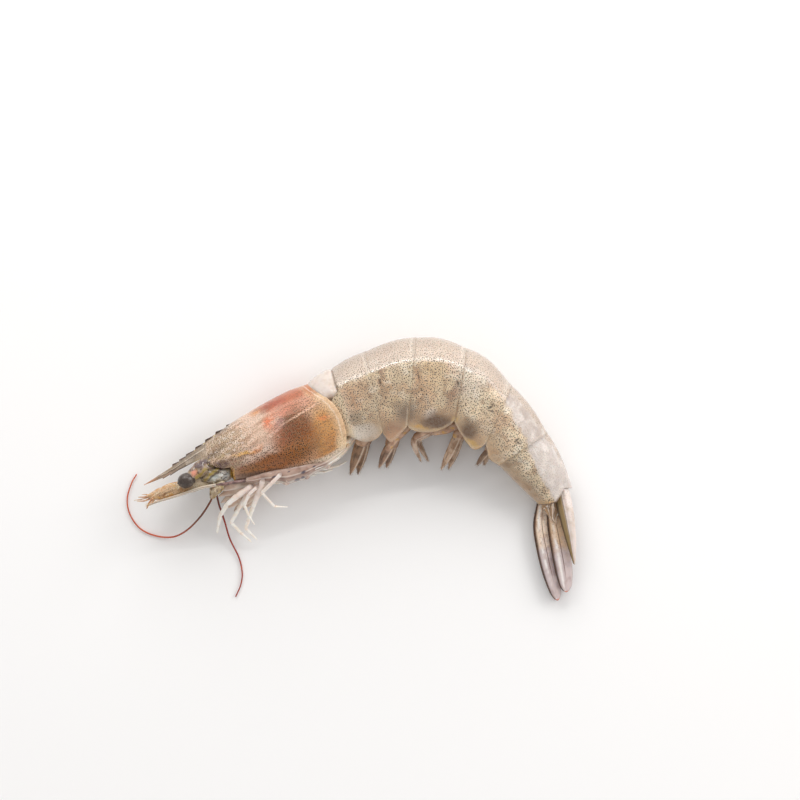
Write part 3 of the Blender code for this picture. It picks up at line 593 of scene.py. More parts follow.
def carapace_section(station, rear, front, lift):
    """Section of the carapace; rear and front say how much of the edge's curve there it takes up."""
    section = blend(CARAPACE_SECTIONS, station)
    back, down, depth = sides_of(section)
    wide = section[4] + lift
    behind = np.array([-down[1], down[0]])
    turn = np.linspace(0, 0.5 * math.pi, CARAPACE_POINTS[0])
    part = np.concatenate([CARAPACE_WIDEST * (1 - np.cos(turn)),
                           np.linspace(CARAPACE_WIDEST, 1.0, CARAPACE_POINTS[1])[1:]])
    above = np.clip(part / CARAPACE_WIDEST, 0, 1)
    below = np.clip((part - CARAPACE_WIDEST) / (1 - CARAPACE_WIDEST), 0, 1)
    keel = min(0.75, max(0.0, 0.2 * (station - 1.5)))
    bulge = (1 - keel) * np.sqrt(1 - (1 - above) ** 2) + keel * above ** 0.9
    tuck = CARAPACE_TUCK - 0.16 * max(0.0, 1 - station / 2)
    widths = wide * (bulge - tuck * below ** 2)
    bow = REAR_BOW * rear * np.sin(math.pi * part) ** 1.3 + front * np.interp(part, *zip(*FRONT_WAVE))
    bow = bow - REAR_CORNER * rear * np.clip((part - CORNER_FROM) / (1 - CORNER_FROM), 0, 1) ** 2
    flat = back + np.outer(depth * part - lift * (1 - above), down) + np.outer(bow, behind)
    for points, height, width in CARAPACE_LINES:
        widths = widths + np.where(part > 0.03, height * np.exp(-(beside(flat, points) / width) ** 2), 0)
    chord = np.linspace(1, 0, 9)[1:]
    inner = wide * (1 - CARAPACE_TUCK) - CARAPACE_THICK
    bottom = back + down * depth * 0.94
    flat = np.concatenate([flat, [back + down * (depth + 0.15)], bottom - np.outer(0.5 * (1 - chord), down)])
    widths = np.concatenate([widths, [widths[-1] - 0.35], inner * chord])
    depths = np.concatenate([part, [1.0], np.full(len(chord), 1.3)])
    return round_both_sides(flat, MID, widths, depths)


stuff, at = new_stuff("carapace_shell")
depth = at.mark("depth")
loose = at.stray(3.0, 2.2)
cloud, fine = at.noise(5.0, 3.0), at.noise(0.8, 2.0)
tone = paint((221, 194, 177), (203, 175, 155), cloud.ramp(0.4, 0.65))
tone = soft_ovals(tone, loose, ORGANS)
tone = coats(tone, (
    ((228, 196, 176),
     loose.noise(1.5, 3.0).ramp(0.56, 0.66) * loose.patch(-41.0, -14.0, 9.0, 7.0, 30.0, 0.5) * 0.6),
    # painted highlight: a pale line along the ridge that crosses the side
    ((232, 190, 166), at.stray(2.0, 0.4).patch(-25.9, -6.9, 7.2, 0.32, 31.0, 0.7) * 0.85),
    ((150, 96, 84), at.specks(0.95, 0.33, 0.5) * loose.patch(-46.6, -22.4, 3.8, 3.0, 0.0, 0.5) * 0.8),
))
from_rear = at.mark("lengthwise")
tone = coats(tone, (
    ((216, 183, 148), (from_rear + (at.noise(3.0, 3.0) - 0.5) * 3.0).fade(1.6, 4.6) * 0.9),
    ((178, 98, 56), at.stray(1.6, 0.8).patch(-25.9, -0.9, 2.6, 1.1, -40.0, 0.7) * 0.8),
    # painted highlight: a pale line running along the rear edge, a little in from it
    ((238, 226, 212), (from_rear + (at.noise(2.0, 2.0) - 0.5) * 0.8).hill(1.9, 0.35) * 0.45),
))
corner = loose.patch(-15.0, -17.0, 10.0, 5.0, 24.0, 0.4)
tone = coats(tone, (
    ((224, 208, 190), depth.ramp(0.93, 0.975) * corner * 0.9),
    ((96, 66, 54), depth.ramp(0.972, 0.99) * (1.0 - corner) * 0.7),
    ((222, 196, 162), loose.patch(-15.6, -15.8, 2.0, 2.4, 0.0, 0.6) * 0.8),
))
streaks = at.streaks(0.16, 0.7, 5.0)
middle = loose.patch(-42.0, -13.0, 10.0, 7.0, 30.0, 0.4)
front = loose.patch(-48.0, -15.6, 7.0, 4.6, 34.0, 0.5)
tone = coats(tone, (
    ((222, 210, 202), loose.noise(1.1, 3.0).ramp(0.52, 0.6) * front * 0.6),
    ((112, 96, 84), loose.noise(0.8, 3.0).ramp(0.54, 0.62) * front * 0.45),
    ((238, 214, 196), streaks.ramp(0.5, 0.66) * middle * 0.4),
    ((136, 92, 66), streaks.fade(0.36, 0.48) * 0.35),
    ((98, 70, 54), at.specks(0.40, 0.24) * 0.35),
    # painted shade: the inner faces of the front edge are painted darker
    ((150, 124, 108), at.mark("inside").ramp(0.2, 0.8)),
))
behind = loose.patch(-22.0, -12.0, 12.0, 9.5, 20.0, 0.4)
low = loose.patch(-35.0, -21.0, 10.0, 4.0, 17.0, 0.4)
head = loose.patch(-50.0, -18.0, 8.0, 6.0, 30.0, 0.4)
cluster = at.stray(1.0, 0.8).patch(-49.9, -22.3, 2.1, 1.1, 8.0, 0.4)
tone = paint(tone, (84, 62, 66), cluster * (at.noise(0.5, 2.0).ramp(0.4, 0.5) * 0.5 + 0.4))
inner = from_rear.ramp(1.2, 3.4)
tone = paint(tone, (236, 200, 156), at.specks(0.53, 0.55, 0.6) * (head * 0.3 + behind * 0.18 + 0.05))
gold = loose.patch(-20.0, -13.6, 5.6, 8.6, 12.0, 0.45)
pepper = (behind * 0.5 + head * 0.5 + low * 0.5 + 0.4) * (inner * 0.7 + 0.3) * (1.0 - gold * 0.3)
tone = paint(tone, (34, 20, 12), at.specks(0.53, 0.34, 0.6) * pepper)
tone = paint(tone, (26, 14, 8), at.specks(0.7, 0.34, 0.5) * behind * inner * (0.5 - gold * 0.3))
wet(tone, fine + cloud, 0.08, film=0.55)
last = len(CARAPACE_SECTIONS) - 1
stations = [(-0.01, -0.5), (-0.045, -0.25), (-0.035, 0.0), (0.0, 0.08)]
stations += [(t, 0.08 * max(0.0, 1 - t / 0.3) ** 2) for t in np.linspace(0.03, last, 110)]
stations += [(last + 0.03, -0.12), (last + 0.02, -0.35), (last - 0.02, -0.7), (last - 0.3, -1.0)]
rings, depths = [], []
for station, lift in stations:
    ring, ring_depths = carapace_section(station, max(0.0, 1 - station / 1.6),
                                         max(0.0, station - (last - 1.4)) / 1.4, lift)
    rings.append(ring)
    depths.append(ring_depths)
inside = [[float(k > len(rings) - LAST_RINGS)] * len(ring) for k, ring in enumerate(rings)]
marks = {"depth": depths, "inside": inside}
fit(skin("carapace_shell", rings, marks), stuff, "carapace")


# ---- Rostrum -----------------------------------------------------------------------------------------
# The carapace runs out in front into a thin two-edged blade with a ridge along each side, saw teeth on its
# upper edge, which are nearly black, and a few small ones below. Its tip is clear and orange.

ROSTRUM_TIP = (-71.7, -28.0)
ROSTRUM_TOP = (-46.0, -10.6)
ROSTRUM_ORBIT = (-54.6, -20.2)
ROSTRUM_HALF_THICK = 1.0
EDGE_HALF = 0.05
ROSTRUM_TEETH = (0.313, 0.387, 0.46, 0.557, 0.66, 0.768, 0.887)
ROSTRUM_LOWER_TEETH = (0.24, 0.33)
TOOTH_HIGH = 0.9
TOOTH_LONG = 0.095
UPPER_EDGE = ((0.0, 0.05), (0.25, -0.25), (0.39, -0.25), (0.5, 0.1), (0.66, 0.6), (0.77, 1.0), (0.9, 0.8),
              (1.0, 0.4), (1.14, 0.0))            # share of the length, height of the edge over the chord
BLADE_PROFILE = ((0.0, 0.05), (0.05, 0.2), (0.1, 0.28), (0.16, 0.34), (0.25, 0.46), (0.34, 0.66), (0.42, 1.0),
                 (0.5, 0.72), (0.6, 0.56), (0.72, 0.44), (0.84, 0.3), (0.93, 0.18), (1.0, 0.08))


def saw(share, teeth, high):
    """Height of the saw's edge: each tooth points at the tip and slopes away behind."""
    return max(high * max(0.0, 1 - (share - tip) / TOOTH_LONG) if share >= tip else 0.0 for tip in teeth)


brow = []
for station in np.linspace(3.4, 6.6, 80):
    ring, ring_depths = carapace_section(station, 0.0, 0.0, 0.0)
    left_side = ring[:sum(CARAPACE_POINTS)]
    brow += [(x, y, z - MID, station) for (x, y, z), deep in zip(left_side, ring_depths) if deep <= 1.0]
brow = np.array(brow)
tip, top, orbit = np.array(ROSTRUM_TIP), np.array(ROSTRUM_TOP), np.array(ROSTRUM_ORBIT)
ahead = (tip - top) / np.linalg.norm(tip - top)
teeth = ROSTRUM_TEETH + ROSTRUM_LOWER_TEETH      # sections stand just before and just after each tip
shares = sorted([*np.linspace(0.0, 1.14, 170), *(t - 0.001 for t in teeth), *(t + 0.0005 for t in teeth)])
edge = [place for place, wide in BLADE_PROFILE]
rings, across, along, toothed = [], [], [], []
for share in shares:
    upper = tip + (top - tip) * share
    lower = tip + (orbit - tip) * min(share * 1.35, 1.0 + 0.3 * share)
    rise = (upper - lower) / np.linalg.norm(upper - lower) if share > 0.02 else np.array([-0.56, 0.83])
    tooth = saw(share, ROSTRUM_TEETH, TOOTH_HIGH)
    upper = upper + rise * np.interp(share, *zip(*UPPER_EDGE))
    belly = 0.4 * math.sin(math.pi * min(share / 0.6, 1.0))
    lower = lower - rise * (0.08 + belly + saw(share, ROSTRUM_LOWER_TEETH, 0.5))
    thick = ROSTRUM_HALF_THICK * (0.22 + 0.78 * min(share, 1.0))
    left, right = [], []
    for place, wide in BLADE_PROFILE:
        tapered = max(0.0, 1 - place / 0.2)
        spot = upper + (lower - upper) * place + rise * tooth * tapered + ahead * 0.5 * tooth * tapered ** 2
        near = brow[np.argmin(np.linalg.norm(brow[:, :2] - spot, axis=1))]
        head_half = near[2] + 0.12 - 0.8 * smooth(5.3 - near[3], 0.0, 0.6)
        onto_head = smooth(share, 0.3, 0.66) * smooth(place, 0.0, 0.3)
        half = wide * thick + max(0.0, head_half - wide * thick) * onto_head
        left.append((*spot, MID + max(half, EDGE_HALF)))
        right.append((*spot, MID - max(half, EDGE_HALF)))
    rings.append(left + right[::-1])
    across.append(edge + edge[::-1])
    along.append([share] * len(rings[-1]))
    toothed.append([tooth / TOOTH_HIGH] * len(rings[-1]))
stuff, at = new_stuff("rostrum_blade")
edge, length = at.mark("edge"), at.mark("length")
fine = at.noise(0.7, 2.0)
tone = coats((152, 138, 121), (
    ((116, 103, 89), at.noise(3.0, 3.0).ramp(0.4, 0.65)),
    ((196, 170, 152), edge.ramp(0.5, 0.75) * length.fade(0.3, 0.5) * 0.6),
    ((146, 124, 62), edge.ramp(0.86, 0.97) * length.hill(0.66, 0.14) * 0.8),
    ((176, 156, 134), length.ramp(0.55, 0.75) * 0.85),
    ((132, 116, 100), edge.hill(0.24, 0.16) * length.ramp(0.3, 0.5) * 0.7),
    ((214, 200, 184), edge.hill(0.42, 0.06) * length.fade(0.85, 1.0) * 0.65),
))
ridge = edge.fade(0.05, 0.12) * length.ramp(0.24, 0.34)
tone = coats(tone, (
    ((218, 196, 140), ridge * at.mark("tooth").fade(0.0, 0.2) * 0.8),
    ((60, 50, 44), ridge * at.mark("tooth").ramp(0.05, 0.2)),
    ((72, 58, 48), edge.ramp(0.84, 0.94) * length.fade(0.55, 0.65) * 0.85),
    ((92, 80, 72), edge.hill(0.54, 0.07) * length.hill(0.45, 0.4) * 0.85),
    ((196, 128, 84), length.fade(0.02, 0.2) * 0.8),
    ((74, 58, 48), at.specks(0.55, 0.3, 0.5) * length.ramp(0.2, 0.6) * 0.7),
))
wet(tone, fine, 0.04)
marks = {"edge": across, "length": along, "tooth": toothed}
fit(skin("rostrum_blade", rings, marks, 38.0), stuff, "carapace")


# ---- Neck skin ---------------------------------------------------------------------------------------
# Where the animal bends its back, the soft joint skin shows between carapace and first ring: smooth, white
# and swollen, with a few fine puckers towards its edges.

NECK_REACH = (0.37, 0.46)
rings, depths = [], []
shell_section, ring_section = np.array(CARAPACE_SECTIONS[0]), np.array(ABDOMEN_JOINTS[0])
for step in np.linspace(-0.12, 1.12, 32):
    left, right, ring_depths = [], [], []
    for part in 0.5 * (1 - np.cos(np.linspace(0, math.pi, 40))):
        front = shell_section[0:2] + (shell_section[2:4] - shell_section[0:2]) * part * NECK_REACH[0]
        rear = ring_section[0:2] + (ring_section[2:4] - ring_section[0:2]) * part * NECK_REACH[1]
        bow = REAR_BOW * 0.8 * math.sin(math.pi * part * NECK_REACH[0]) ** 1.3
        front = front + np.array([1.0, 0.55]) * bow
        spot = front + (rear - front) * step
        swell = 0.55 * math.sin(math.pi * min(max(step, 0.0), 1.0))
        pucker = 0.10 * math.sin(9 * step + 3 * part) * part
        dip = 1.6 * smooth(step, 0.9, 1.1) + 1.0 * smooth(-step, -0.08, 0.1)
        sunk = 1.0 - 0.22 * smooth(part, 0.72, 1.0)
        wide = (8.15 + swell * 0.8 + pucker - dip) * sunk * math.sqrt(max(0.0, 1 - (1 - part) ** 2)) ** 0.92
        spot = spot + np.array([-0.25, 0.97]) * (swell + 0.15 - dip) * (1 - part)
        left.append((*spot, MID + wide))
        right.append((*spot, max(MID - wide, FLOOR)))
        ring_depths.append(part)
    rings.append(left + right[-1:0:-1])
    depths.append(ring_depths + ring_depths[-1:0:-1])
stuff, at = new_stuff("neck_skin")
tone = paint((212, 200, 192), (198, 182, 170), at.noise(2.6, 3.0).ramp(0.45, 0.7))
tone = paint(tone, (198, 172, 150), at.mark("depth").ramp(0.55, 0.9) * 0.6)
wet(tone, at.noise(1.4, 2.0), 0.12, glow=0.35)
fit(skin("neck_skin", rings, {"depth": depths}, 80.0), stuff, "neck_membrane")


# ---- Breast ------------------------------------------------------------------------------------------
# Below the carapace's margin the soft breast shows as a pinkish-white strip, swollen where each leg is
# rooted on a short fleshy hip. The rim of the far side's shell is pale, and there are blue-black spots.

BREAST_TOP = ((-13.6, -11.4), (-17.0, -15.2), (-22.2, -18.6), (-29.4, -20.4), (-36.4, -22.4), (-42.8, -25.0))
BREAST_LOW = ((-11.9, -15.4), (-15.8, -20.2), (-21.0, -23.6), (-29.6, -27.6), (-36.4, -27.6), (-43.2, -27.9))
BREAST_HALF = (5.2, 6.3, 6.7, 6.5, 6.0, 4.4)
BREAST_SPOTS = ((-26.9, -24.3, 0.7), (-28.6, -26.4, 0.8), (-27.2, -25.8, 0.6), (-24.0, -22.8, 0.45),
                (-31.0, -24.2, 0.4), (-35.2, -25.6, 0.5))
HIPS = (1.9, 2.6, 3.3, 4.0, 4.6)
HIP_REACH = ((-1.0, 0.12), (-0.9, 0.45), (-1.9, 0.8))   # how far out of the breast, share of its half width
HIP_RADII = (0.9, 1.1, 0.8)


def frames(path):
    """Unit vectors along a path and two across it, carried along without twisting."""
    along = np.gradient(path, axis=0)
    along /= np.linalg.norm(along, axis=1)[:, None]
    side = np.cross(along[0], (0.0, 0.0, 1.0))
    sides = []
    for way in along:
        side = side - way * (side @ way)
        side = side / np.linalg.norm(side)
        sides.append(side)
    sides = np.array(sides)
    return along, sides, np.cross(sides, along)


def tube_rings(path, radii, flat=1.0, sides=16):
    """Rings of a tapering limb with rounded ends, and each ring's share of the length."""
    path, radii = np.asarray(path, dtype=float), np.asarray(radii, dtype=float)
    along, across, over = frames(path)
    for end, way in ((0, -1), (-1, 1)):
        caps = [(radii[end] * s, path[end] + way * along[end] * radii[end] * 0.8 * math.sqrt(1 - s * s))
                for s in (0.85, 0.55, 0.2)]
        for radius, spot in caps:
            spare = [np.insert(a, 0, a[0], 0) if end == 0 else np.append(a, a[-1:], 0)
                     for a in (along, across, over)]
            along, across, over = spare
            path = np.insert(path, 0, spot, 0) if end == 0 else np.append(path, [spot], 0)
            radii = np.insert(radii, 0, radius) if end == 0 else np.append(radii, radius)
    turn = np.linspace(0, 2 * math.pi, sides, endpoint=False)
    swing = np.cos(turn)[:, None] * across[:, None] + flat * np.sin(turn)[:, None] * over[:, None]
    steps = np.concatenate([[0], np.cumsum(np.linalg.norm(np.diff(path, axis=0), axis=1))])
    return path[:, None] + radii[:, None, None] * swing, steps / steps[-1]


def limb(name, path, radii, flat, sides, sharp_deg):
    """A tapering limb with rounded ends; flat is its thickness as a share of its breadth."""
    return skin(name, tube_rings(path, radii, flat, sides)[0], None, sharp_deg)


def route(points, count):
    """Evenly spaced places on a smooth curve through the points."""
    return np.array([blend(points, (len(points) - 1) * k / (count - 1)) for k in range(count)])


rings, depths, places = [], [], []
for step in np.linspace(0, 5, 110):
    above, below = blend(BREAST_TOP, step), blend(BREAST_LOW, step)
    half = float(blend(BREAST_HALF, step))
    knob = sum(math.exp(-((step - hip) / 0.16) ** 2) for hip in HIPS)
    turn = np.linspace(0, 2 * math.pi, 40, endpoint=False)
    drop = 0.5 - 0.5 * np.cos(turn)
    spread = half * np.sign(np.sin(turn)) * np.abs(np.sin(turn)) ** 0.85
    spread = spread + np.sign(spread) * 0.45 * knob * np.exp(-((drop - 0.7) / 0.25) ** 2)
    way = (below - above) / np.linalg.norm(below - above)
    flat = above + np.outer(drop, below - above) + np.outer((0.5 * knob - 0.35) * drop ** 4, way)
    rings.append(np.column_stack([flat, MID + spread]))
    depths.append(drop)
    places.append([knob] * len(drop))
stuff, at = new_stuff("breast_flesh")
depth = at.mark("depth")
loose = at.stray(2.0, 1.2)
tone = coats((178, 150, 136), (
    ((150, 120, 108), at.noise(2.4, 3.0).ramp(0.42, 0.65)),
    ((206, 194, 180), depth.ramp(0.84, 0.93) * 0.9),
    ((196, 158, 142), at.mark("knob").fade(0.0, 0.5) * depth.ramp(0.9, 1.0) * 0.6),
    ((244, 226, 202), loose.patch(-15.4, -18.2, 5.4, 2.8, 45.0, 0.5) * 0.9),
    ((232, 218, 208), depth.hill(0.66, 0.05) * 0.7),
    ((120, 88, 84), depth.hill(0.74, 0.04) * at.noise(2.6).ramp(0.4, 0.6) * 0.6),
))
for x, y, size in BREAST_SPOTS:
    spot = loose.patch(x, y, size, 0.45 * size, 25.0, 0.5) * depth.fade(0.95, 0.985)
    tone = paint(tone, (60, 58, 78), spot * 0.85)
wet(tone, at.noise(0.8), 0.08, glow=0.35)
marks = {"depth": depths, "knob": places}
fit(skin("breast_flesh", rings, marks, 80.0), stuff, "thorax_underside")
stuff, at = new_stuff("hip_flesh")
tone = paint((216, 194, 178), (182, 152, 138), at.noise(1.4, 3.0).ramp(0.42, 0.62))
tone = paint(tone, (128, 98, 90), at.noise(0.9, 3.0).ramp(0.58, 0.66) * 0.5)
wet(tone, at.noise(0.7), 0.08, glow=0.35)
for k, hip in enumerate(HIPS):
    above, below = blend(BREAST_TOP, hip), blend(BREAST_LOW, hip)
    way = (below - above) / np.linalg.norm(below - above)
    half = float(blend(BREAST_HALF, hip))
    for name, mirror in (("left", 1), ("right", -1)):
        path = route([(*(below + way * out), MID + mirror * half * share) for out, share in HIP_REACH], 14)
        radii = np.interp(np.linspace(0, 2, 14), range(3), HIP_RADII)
        piece = limb(f"hip_{k + 1}_{name}", path, radii, 1.0, 16, 80.0)
        fit(piece, stuff, "thorax_underside")


# ---- Eyes --------------------------------------------------------------------------------------------
# Two grey-black compound eyes, finely faceted and wet, on short fleshy stalks that come out from under the
# rostrum. The stalks are grey and pink with dark and olive streaks.

EYE_AXIS = np.array([-0.90, -0.28, 0.30])
EYE_PROFILE = ((-2.5, 0.9), (-2.3, 1.3), (-2.0, 1.45), (-1.85, 1.4), (-1.5, 1.75), (-0.9, 2.0), (-0.2, 2.12),
               (0.5, 2.08), (1.1, 1.9), (1.65, 1.55), (2.05, 1.1), (2.3, 0.65), (2.4, 0.3))
STALK = ((-52.6, -21.4, 2.0, 2.0), (-54.8, -22.7, 2.8, 2.2), (-56.7, -24.2, 3.7, 2.0),
         (-58.2, -25.5, 4.5, 1.55))


def stem(rows, mirror, count):
    """A stem's path and its radius there, from rows of x, y, distance from the middle and radius."""
    spots = route([(x, y, MID + mirror * off, radius) for x, y, off, radius in rows], count)
    return spots[:, :3], spots[:, 3]


for name, mirror in (("left", 1), ("right", -1)):
    stuff, at = new_stuff(f"eye_{name}")
    facets = at.node("ShaderNodeTexVoronoi", None, {"Vector": at, "Scale": 1 / (0.11 * MM)})
    tone = paint((80, 69, 63), (118, 107, 100), at.noise(1.3, 3.0).ramp(0.45, 0.75))
    tone = paint(tone, (38, 31, 28), facets.ramp(0.3, 0.6) * 0.6)
    tone = paint(tone, (128, 110, 76), at.mark("length").fade(0.0, 0.2) * 0.8)
    wet(tone, 1.0 - facets, 0.012, roughness=0.3, glow=0.0, film=1.0, film_rough=0.05)
    axis = EYE_AXIS * np.array([1, 1, mirror]) / np.linalg.norm(EYE_AXIS)
    centre = np.array([-59.7, -26.7, MID + mirror * 4.9])
    profile = route(EYE_PROFILE, 60)
    path = centre + profile[:, :1] * axis
    rings, length = tube_rings(path, profile[:, 1], 0.94, 40)
    marks = {"length": np.repeat(length, 40)}
    fit(skin(f"eye_{name}", rings, marks, 80.0), stuff, f"eye_{name}")

    stuff, at = new_stuff(f"eyestalk_{name}")
    loose = at.stray(1.5, 1.5)
    tone = paint((168, 150, 132), (136, 112, 98), loose.noise(1.2, 3.0).ramp(0.4, 0.6))
    tone = mottles(tone, loose, (
        (1.1, 2, 0.55, 0.64, 0.8, (156, 134, 70)),
        (0.9, 3, 0.54, 0.62, 0.85, (66, 50, 48)),
    ))
    tone = soft_ovals(tone, loose, (
        (-57.4, -24.6, 0.9, 0.7, 30, 0.6, 0.85, (210, 140, 116)),
        (-55.4, -22, 2.6, 0.8, 38, 0.6, 0.85, (78, 60, 66)),
        (-55.6, -25, 2.2, 0.35, 40, 0.6, 0.85, (150, 128, 62)),
    ))
    tone = paint(tone, (226, 218, 206), loose.noise(0.7, 2.0).ramp(0.64, 0.7) * 0.8)
    wet(tone, at.noise(0.7), 0.1)
    path, radii = stem(STALK, mirror, 26)
    waves = 1 + 0.05 * np.sin(np.linspace(0, 15, 26))
    piece = limb(f"eyestalk_{name}", path, radii * waves, 0.8, 24, 80.0)
    fit(piece, stuff, f"eyestalk_{name}")


# ---- Face --------------------------------------------------------------------------------------------
# Below the orbit is a knot of wet folds, from which both pairs of feelers spring: glassy blue-grey flesh
# with olive seams, a dark spot above and a golden bar where the carapace's front edge begins.

rings = []
for step in np.linspace(0, 1, 48):
    reach = math.sin(math.pi * (0.04 + 0.92 * step)) ** 0.6
    middle = np.array([-57.4, -27.0]) + np.array([11.4, 3.6]) * step
    turn = np.linspace(0, 2 * math.pi, 56, endpoint=False)
    folds = (1 + 0.05 * np.sin(5 * turn + 9 * step) + 0.045 * np.sin(8 * turn - 14 * step)
             + 0.03 * np.sin(13 * turn + 27 * step))
    high = 3.0 * reach * np.sin(turn) * folds
    rings.append(np.column_stack([middle[0] - 0.32 * high, middle[1] + 0.95 * high,
                                  MID + 4.3 * reach * np.cos(turn) * folds]))
stuff, at = new_stuff("face_flesh")
loose = at.stray(1.4, 1.6)
tone = paint((158, 142, 120), (126, 112, 98), loose.noise(1.2, 3.0).ramp(0.4, 0.6))
tone = mottles(tone, loose, (
    # painted glints: small pale flecks standing for the lights' highlights on the wet folds
    (0.9, 2, 0.58, 0.64, 0.85, (206, 202, 192)),
    (1.4, 2, 0.55, 0.62, 0.8, (150, 130, 66)),
    (1, 3, 0.58, 0.66, 0.7, (70, 56, 48)),
))
tone = soft_ovals(tone, loose, (
    # painted highlight: this oval is a patch of white glints
    (-49.2, -25.1, 1.8, 1.1, 0, 0.7, 0.6, (212, 214, 210)),
    (-52.2, -26.2, 1.4, 0.7, 30, 0.6, 0.6, (178, 186, 186)),
))
# painted shade: dark flecks where the folds sink in
hollow = loose.patch(-48.9, -25.0, 2.4, 1.6, 0.0, 0.6)
tone = paint(tone, (72, 56, 52), hollow * loose.noise(0.8, 3.0).ramp(0.56, 0.62) * 0.9)
tone = soft_ovals(tone, loose, (
    (-49.8, -22.7, 2.2, 1.1, 12, 0.5, 0.9, (82, 62, 60)),
    (-52.3, -24.6, 3.4, 0.4, 45, 0.6, 0.85, (140, 120, 56)),
    (-51.6, -24.9, 3.4, 0.3, 45, 0.6, 0.8, (70, 54, 44)),
))
tone = paint(tone, (206, 160, 72), at.stray(1.4, 0.5).patch(-46.9, -24.8, 0.55, 1.7, 6.0, 0.5) * 0.9)
wet(tone, at.noise(0.6, 3.0), 0.12)
fit(skin("face_flesh", rings, None, 80.0), stuff, "face")

stuff, at = new_stuff("cheek_edge")
tone = paint((140, 112, 108), (104, 80, 78), at.noise(1.0, 3.0).ramp(0.42, 0.6))
wet(tone, at.noise(0.6), 0.05)
cheek = route(((-53.4, -28.3, 12.4), (-49.0, -27.6, 12.8), (-44.4, -26.9, 13.0), (-39.6, -26.1, 13.2)), 40)
radii = 0.34 + 0.12 * np.sin(np.linspace(0, math.pi, 40))
fit(limb("cheek_edge", cheek, radii, 0.8, 12, 80.0), stuff, "face")


# ---- Feelers -----------------------------------------------------------------------------------------
# The small feelers have a broad, hollowed stem under the eye, speckled orange-brown, that ends in two short
# frayed lashes. Beside them stands a stiff clear scale, seen edge-on, with a fringe of bristles.

FEELER_STEM = ((-50.5, -25.8, 1.6, 1.3), (-54.0, -26.6, 1.7, 2.0), (-57.5, -27.6, 1.7, 2.2),
               (-61.0, -28.6, 1.6, 2.15), (-64.6, -29.6, 1.6, 1.95), (-67.4, -30.5, 1.5, 1.6),
               (-69.6, -31.2, 1.5, 1.0))
LASHES = (      # root, bend and tip of each frayed end, and its radius
    ((-69.2, -30.7), (-71.2, -31.3), (-73.2, -31.4), 0.34),
    ((-69.4, -31.4), (-71.4, -32.4), (-73.6, -32.5), 0.30),
    ((-69.2, -31.8), (-70.2, -33.0), (-70.9, -34.6), 0.30),
    ((-69.8, -31.2), (-72.0, -31.9), (-74.4, -32.3), 0.22),
    ((-68.6, -31.8), (-69.4, -32.9), (-70.3, -33.8), 0.24),
    ((-69.6, -30.9), (-70.9, -30.7), (-72.2, -30.7), 0.22),
)
SCALE_SPINE = ((-51.5, -28.0, 3.0), (-56.0, -28.9, 3.6), (-61.6, -30.8, 3.9), (-67.2, -32.5, 3.6),
               (-70.2, -33.6, 3.2))
SCALE_WIDTHS = (2.4, 4.8, 5.4, 4.4, 1.6)
SCALE_BRISTLES = 70
BRISTLE_RADIUS = 0.05


def leaf_rings(spine, widths, thick, across=None, curl=0.0, ribs=(), sides=30, blunt=0.86, thin=0.45):
    """A leaf along the spine, wide across or level; ribs are (place across, height, breadth).

    It gets thinner by a share of its thickness, and blunt is where its end starts to round off.
    """
    spine, count = np.asarray(spine, dtype=float), len(spine)
    along = np.gradient(spine, axis=0)
    along /= np.linalg.norm(along, axis=1)[:, None]
    turn = np.linspace(0, 2 * math.pi, sides, endpoint=False)
    place, skyward = np.cos(turn), np.sin(turn)
    rings = []
    for k in range(count):
        share = k / (count - 1)
        side = np.array(across, dtype=float) if across is not None else np.cross((0.0, 0.0, 1.0), along[k])
        side = side - along[k] * (side @ along[k])
        side /= np.linalg.norm(side)
        face = np.cross(along[k], side)
        half = 0.5 * float(blend(widths, (len(widths) - 1) * share))
        half *= math.sqrt(max(0.02, 1 - (max(0.0, share - blunt) / (1.001 - blunt)) ** 2))
        deep = 0.5 * thick * (1 - thin * share) * np.sign(skyward) * np.abs(skyward) ** 0.7
        for middle, height, breadth in ribs:
            rib = height * (1 - 0.7 * share) * np.exp(-((place - middle) / breadth) ** 2)
            deep = deep + rib * (skyward > 0)
        deep = deep + curl * (1 - place ** 2)
        rings.append(spine[k] + np.outer(half * place, side) + np.outer(deep, face))
    marks = {"across": np.tile(place, count), "face": np.tile(skyward, count),
             "length": np.repeat(np.linspace(0, 1, count), sides)}
    return rings, marks


def hairs(name, roots, tips, thick):
    """Fine tapering bristles, each a closed three-sided spike."""
    places, faces = [], []
    for root, end in zip(np.asarray(roots, dtype=float), np.asarray(tips, dtype=float)):
        way = (end - root) / np.linalg.norm(end - root)
        side = np.cross(way, (0.31, 0.17, 0.93))
        side /= np.linalg.norm(side)
        other = np.cross(way, side)
        start = len(places)
        for k in range(3):
            angle = 2 * math.pi * k / 3
            places.append(root + thick * (math.cos(angle) * side + math.sin(angle) * other))
        places.append(end)
        faces += [(start + 2, start + 1, start), (start, start + 1, start + 3),
                  (start + 1, start + 2, start + 3), (start + 2, start, start + 3)]
    return solid(name, places, faces, None, 30.0)


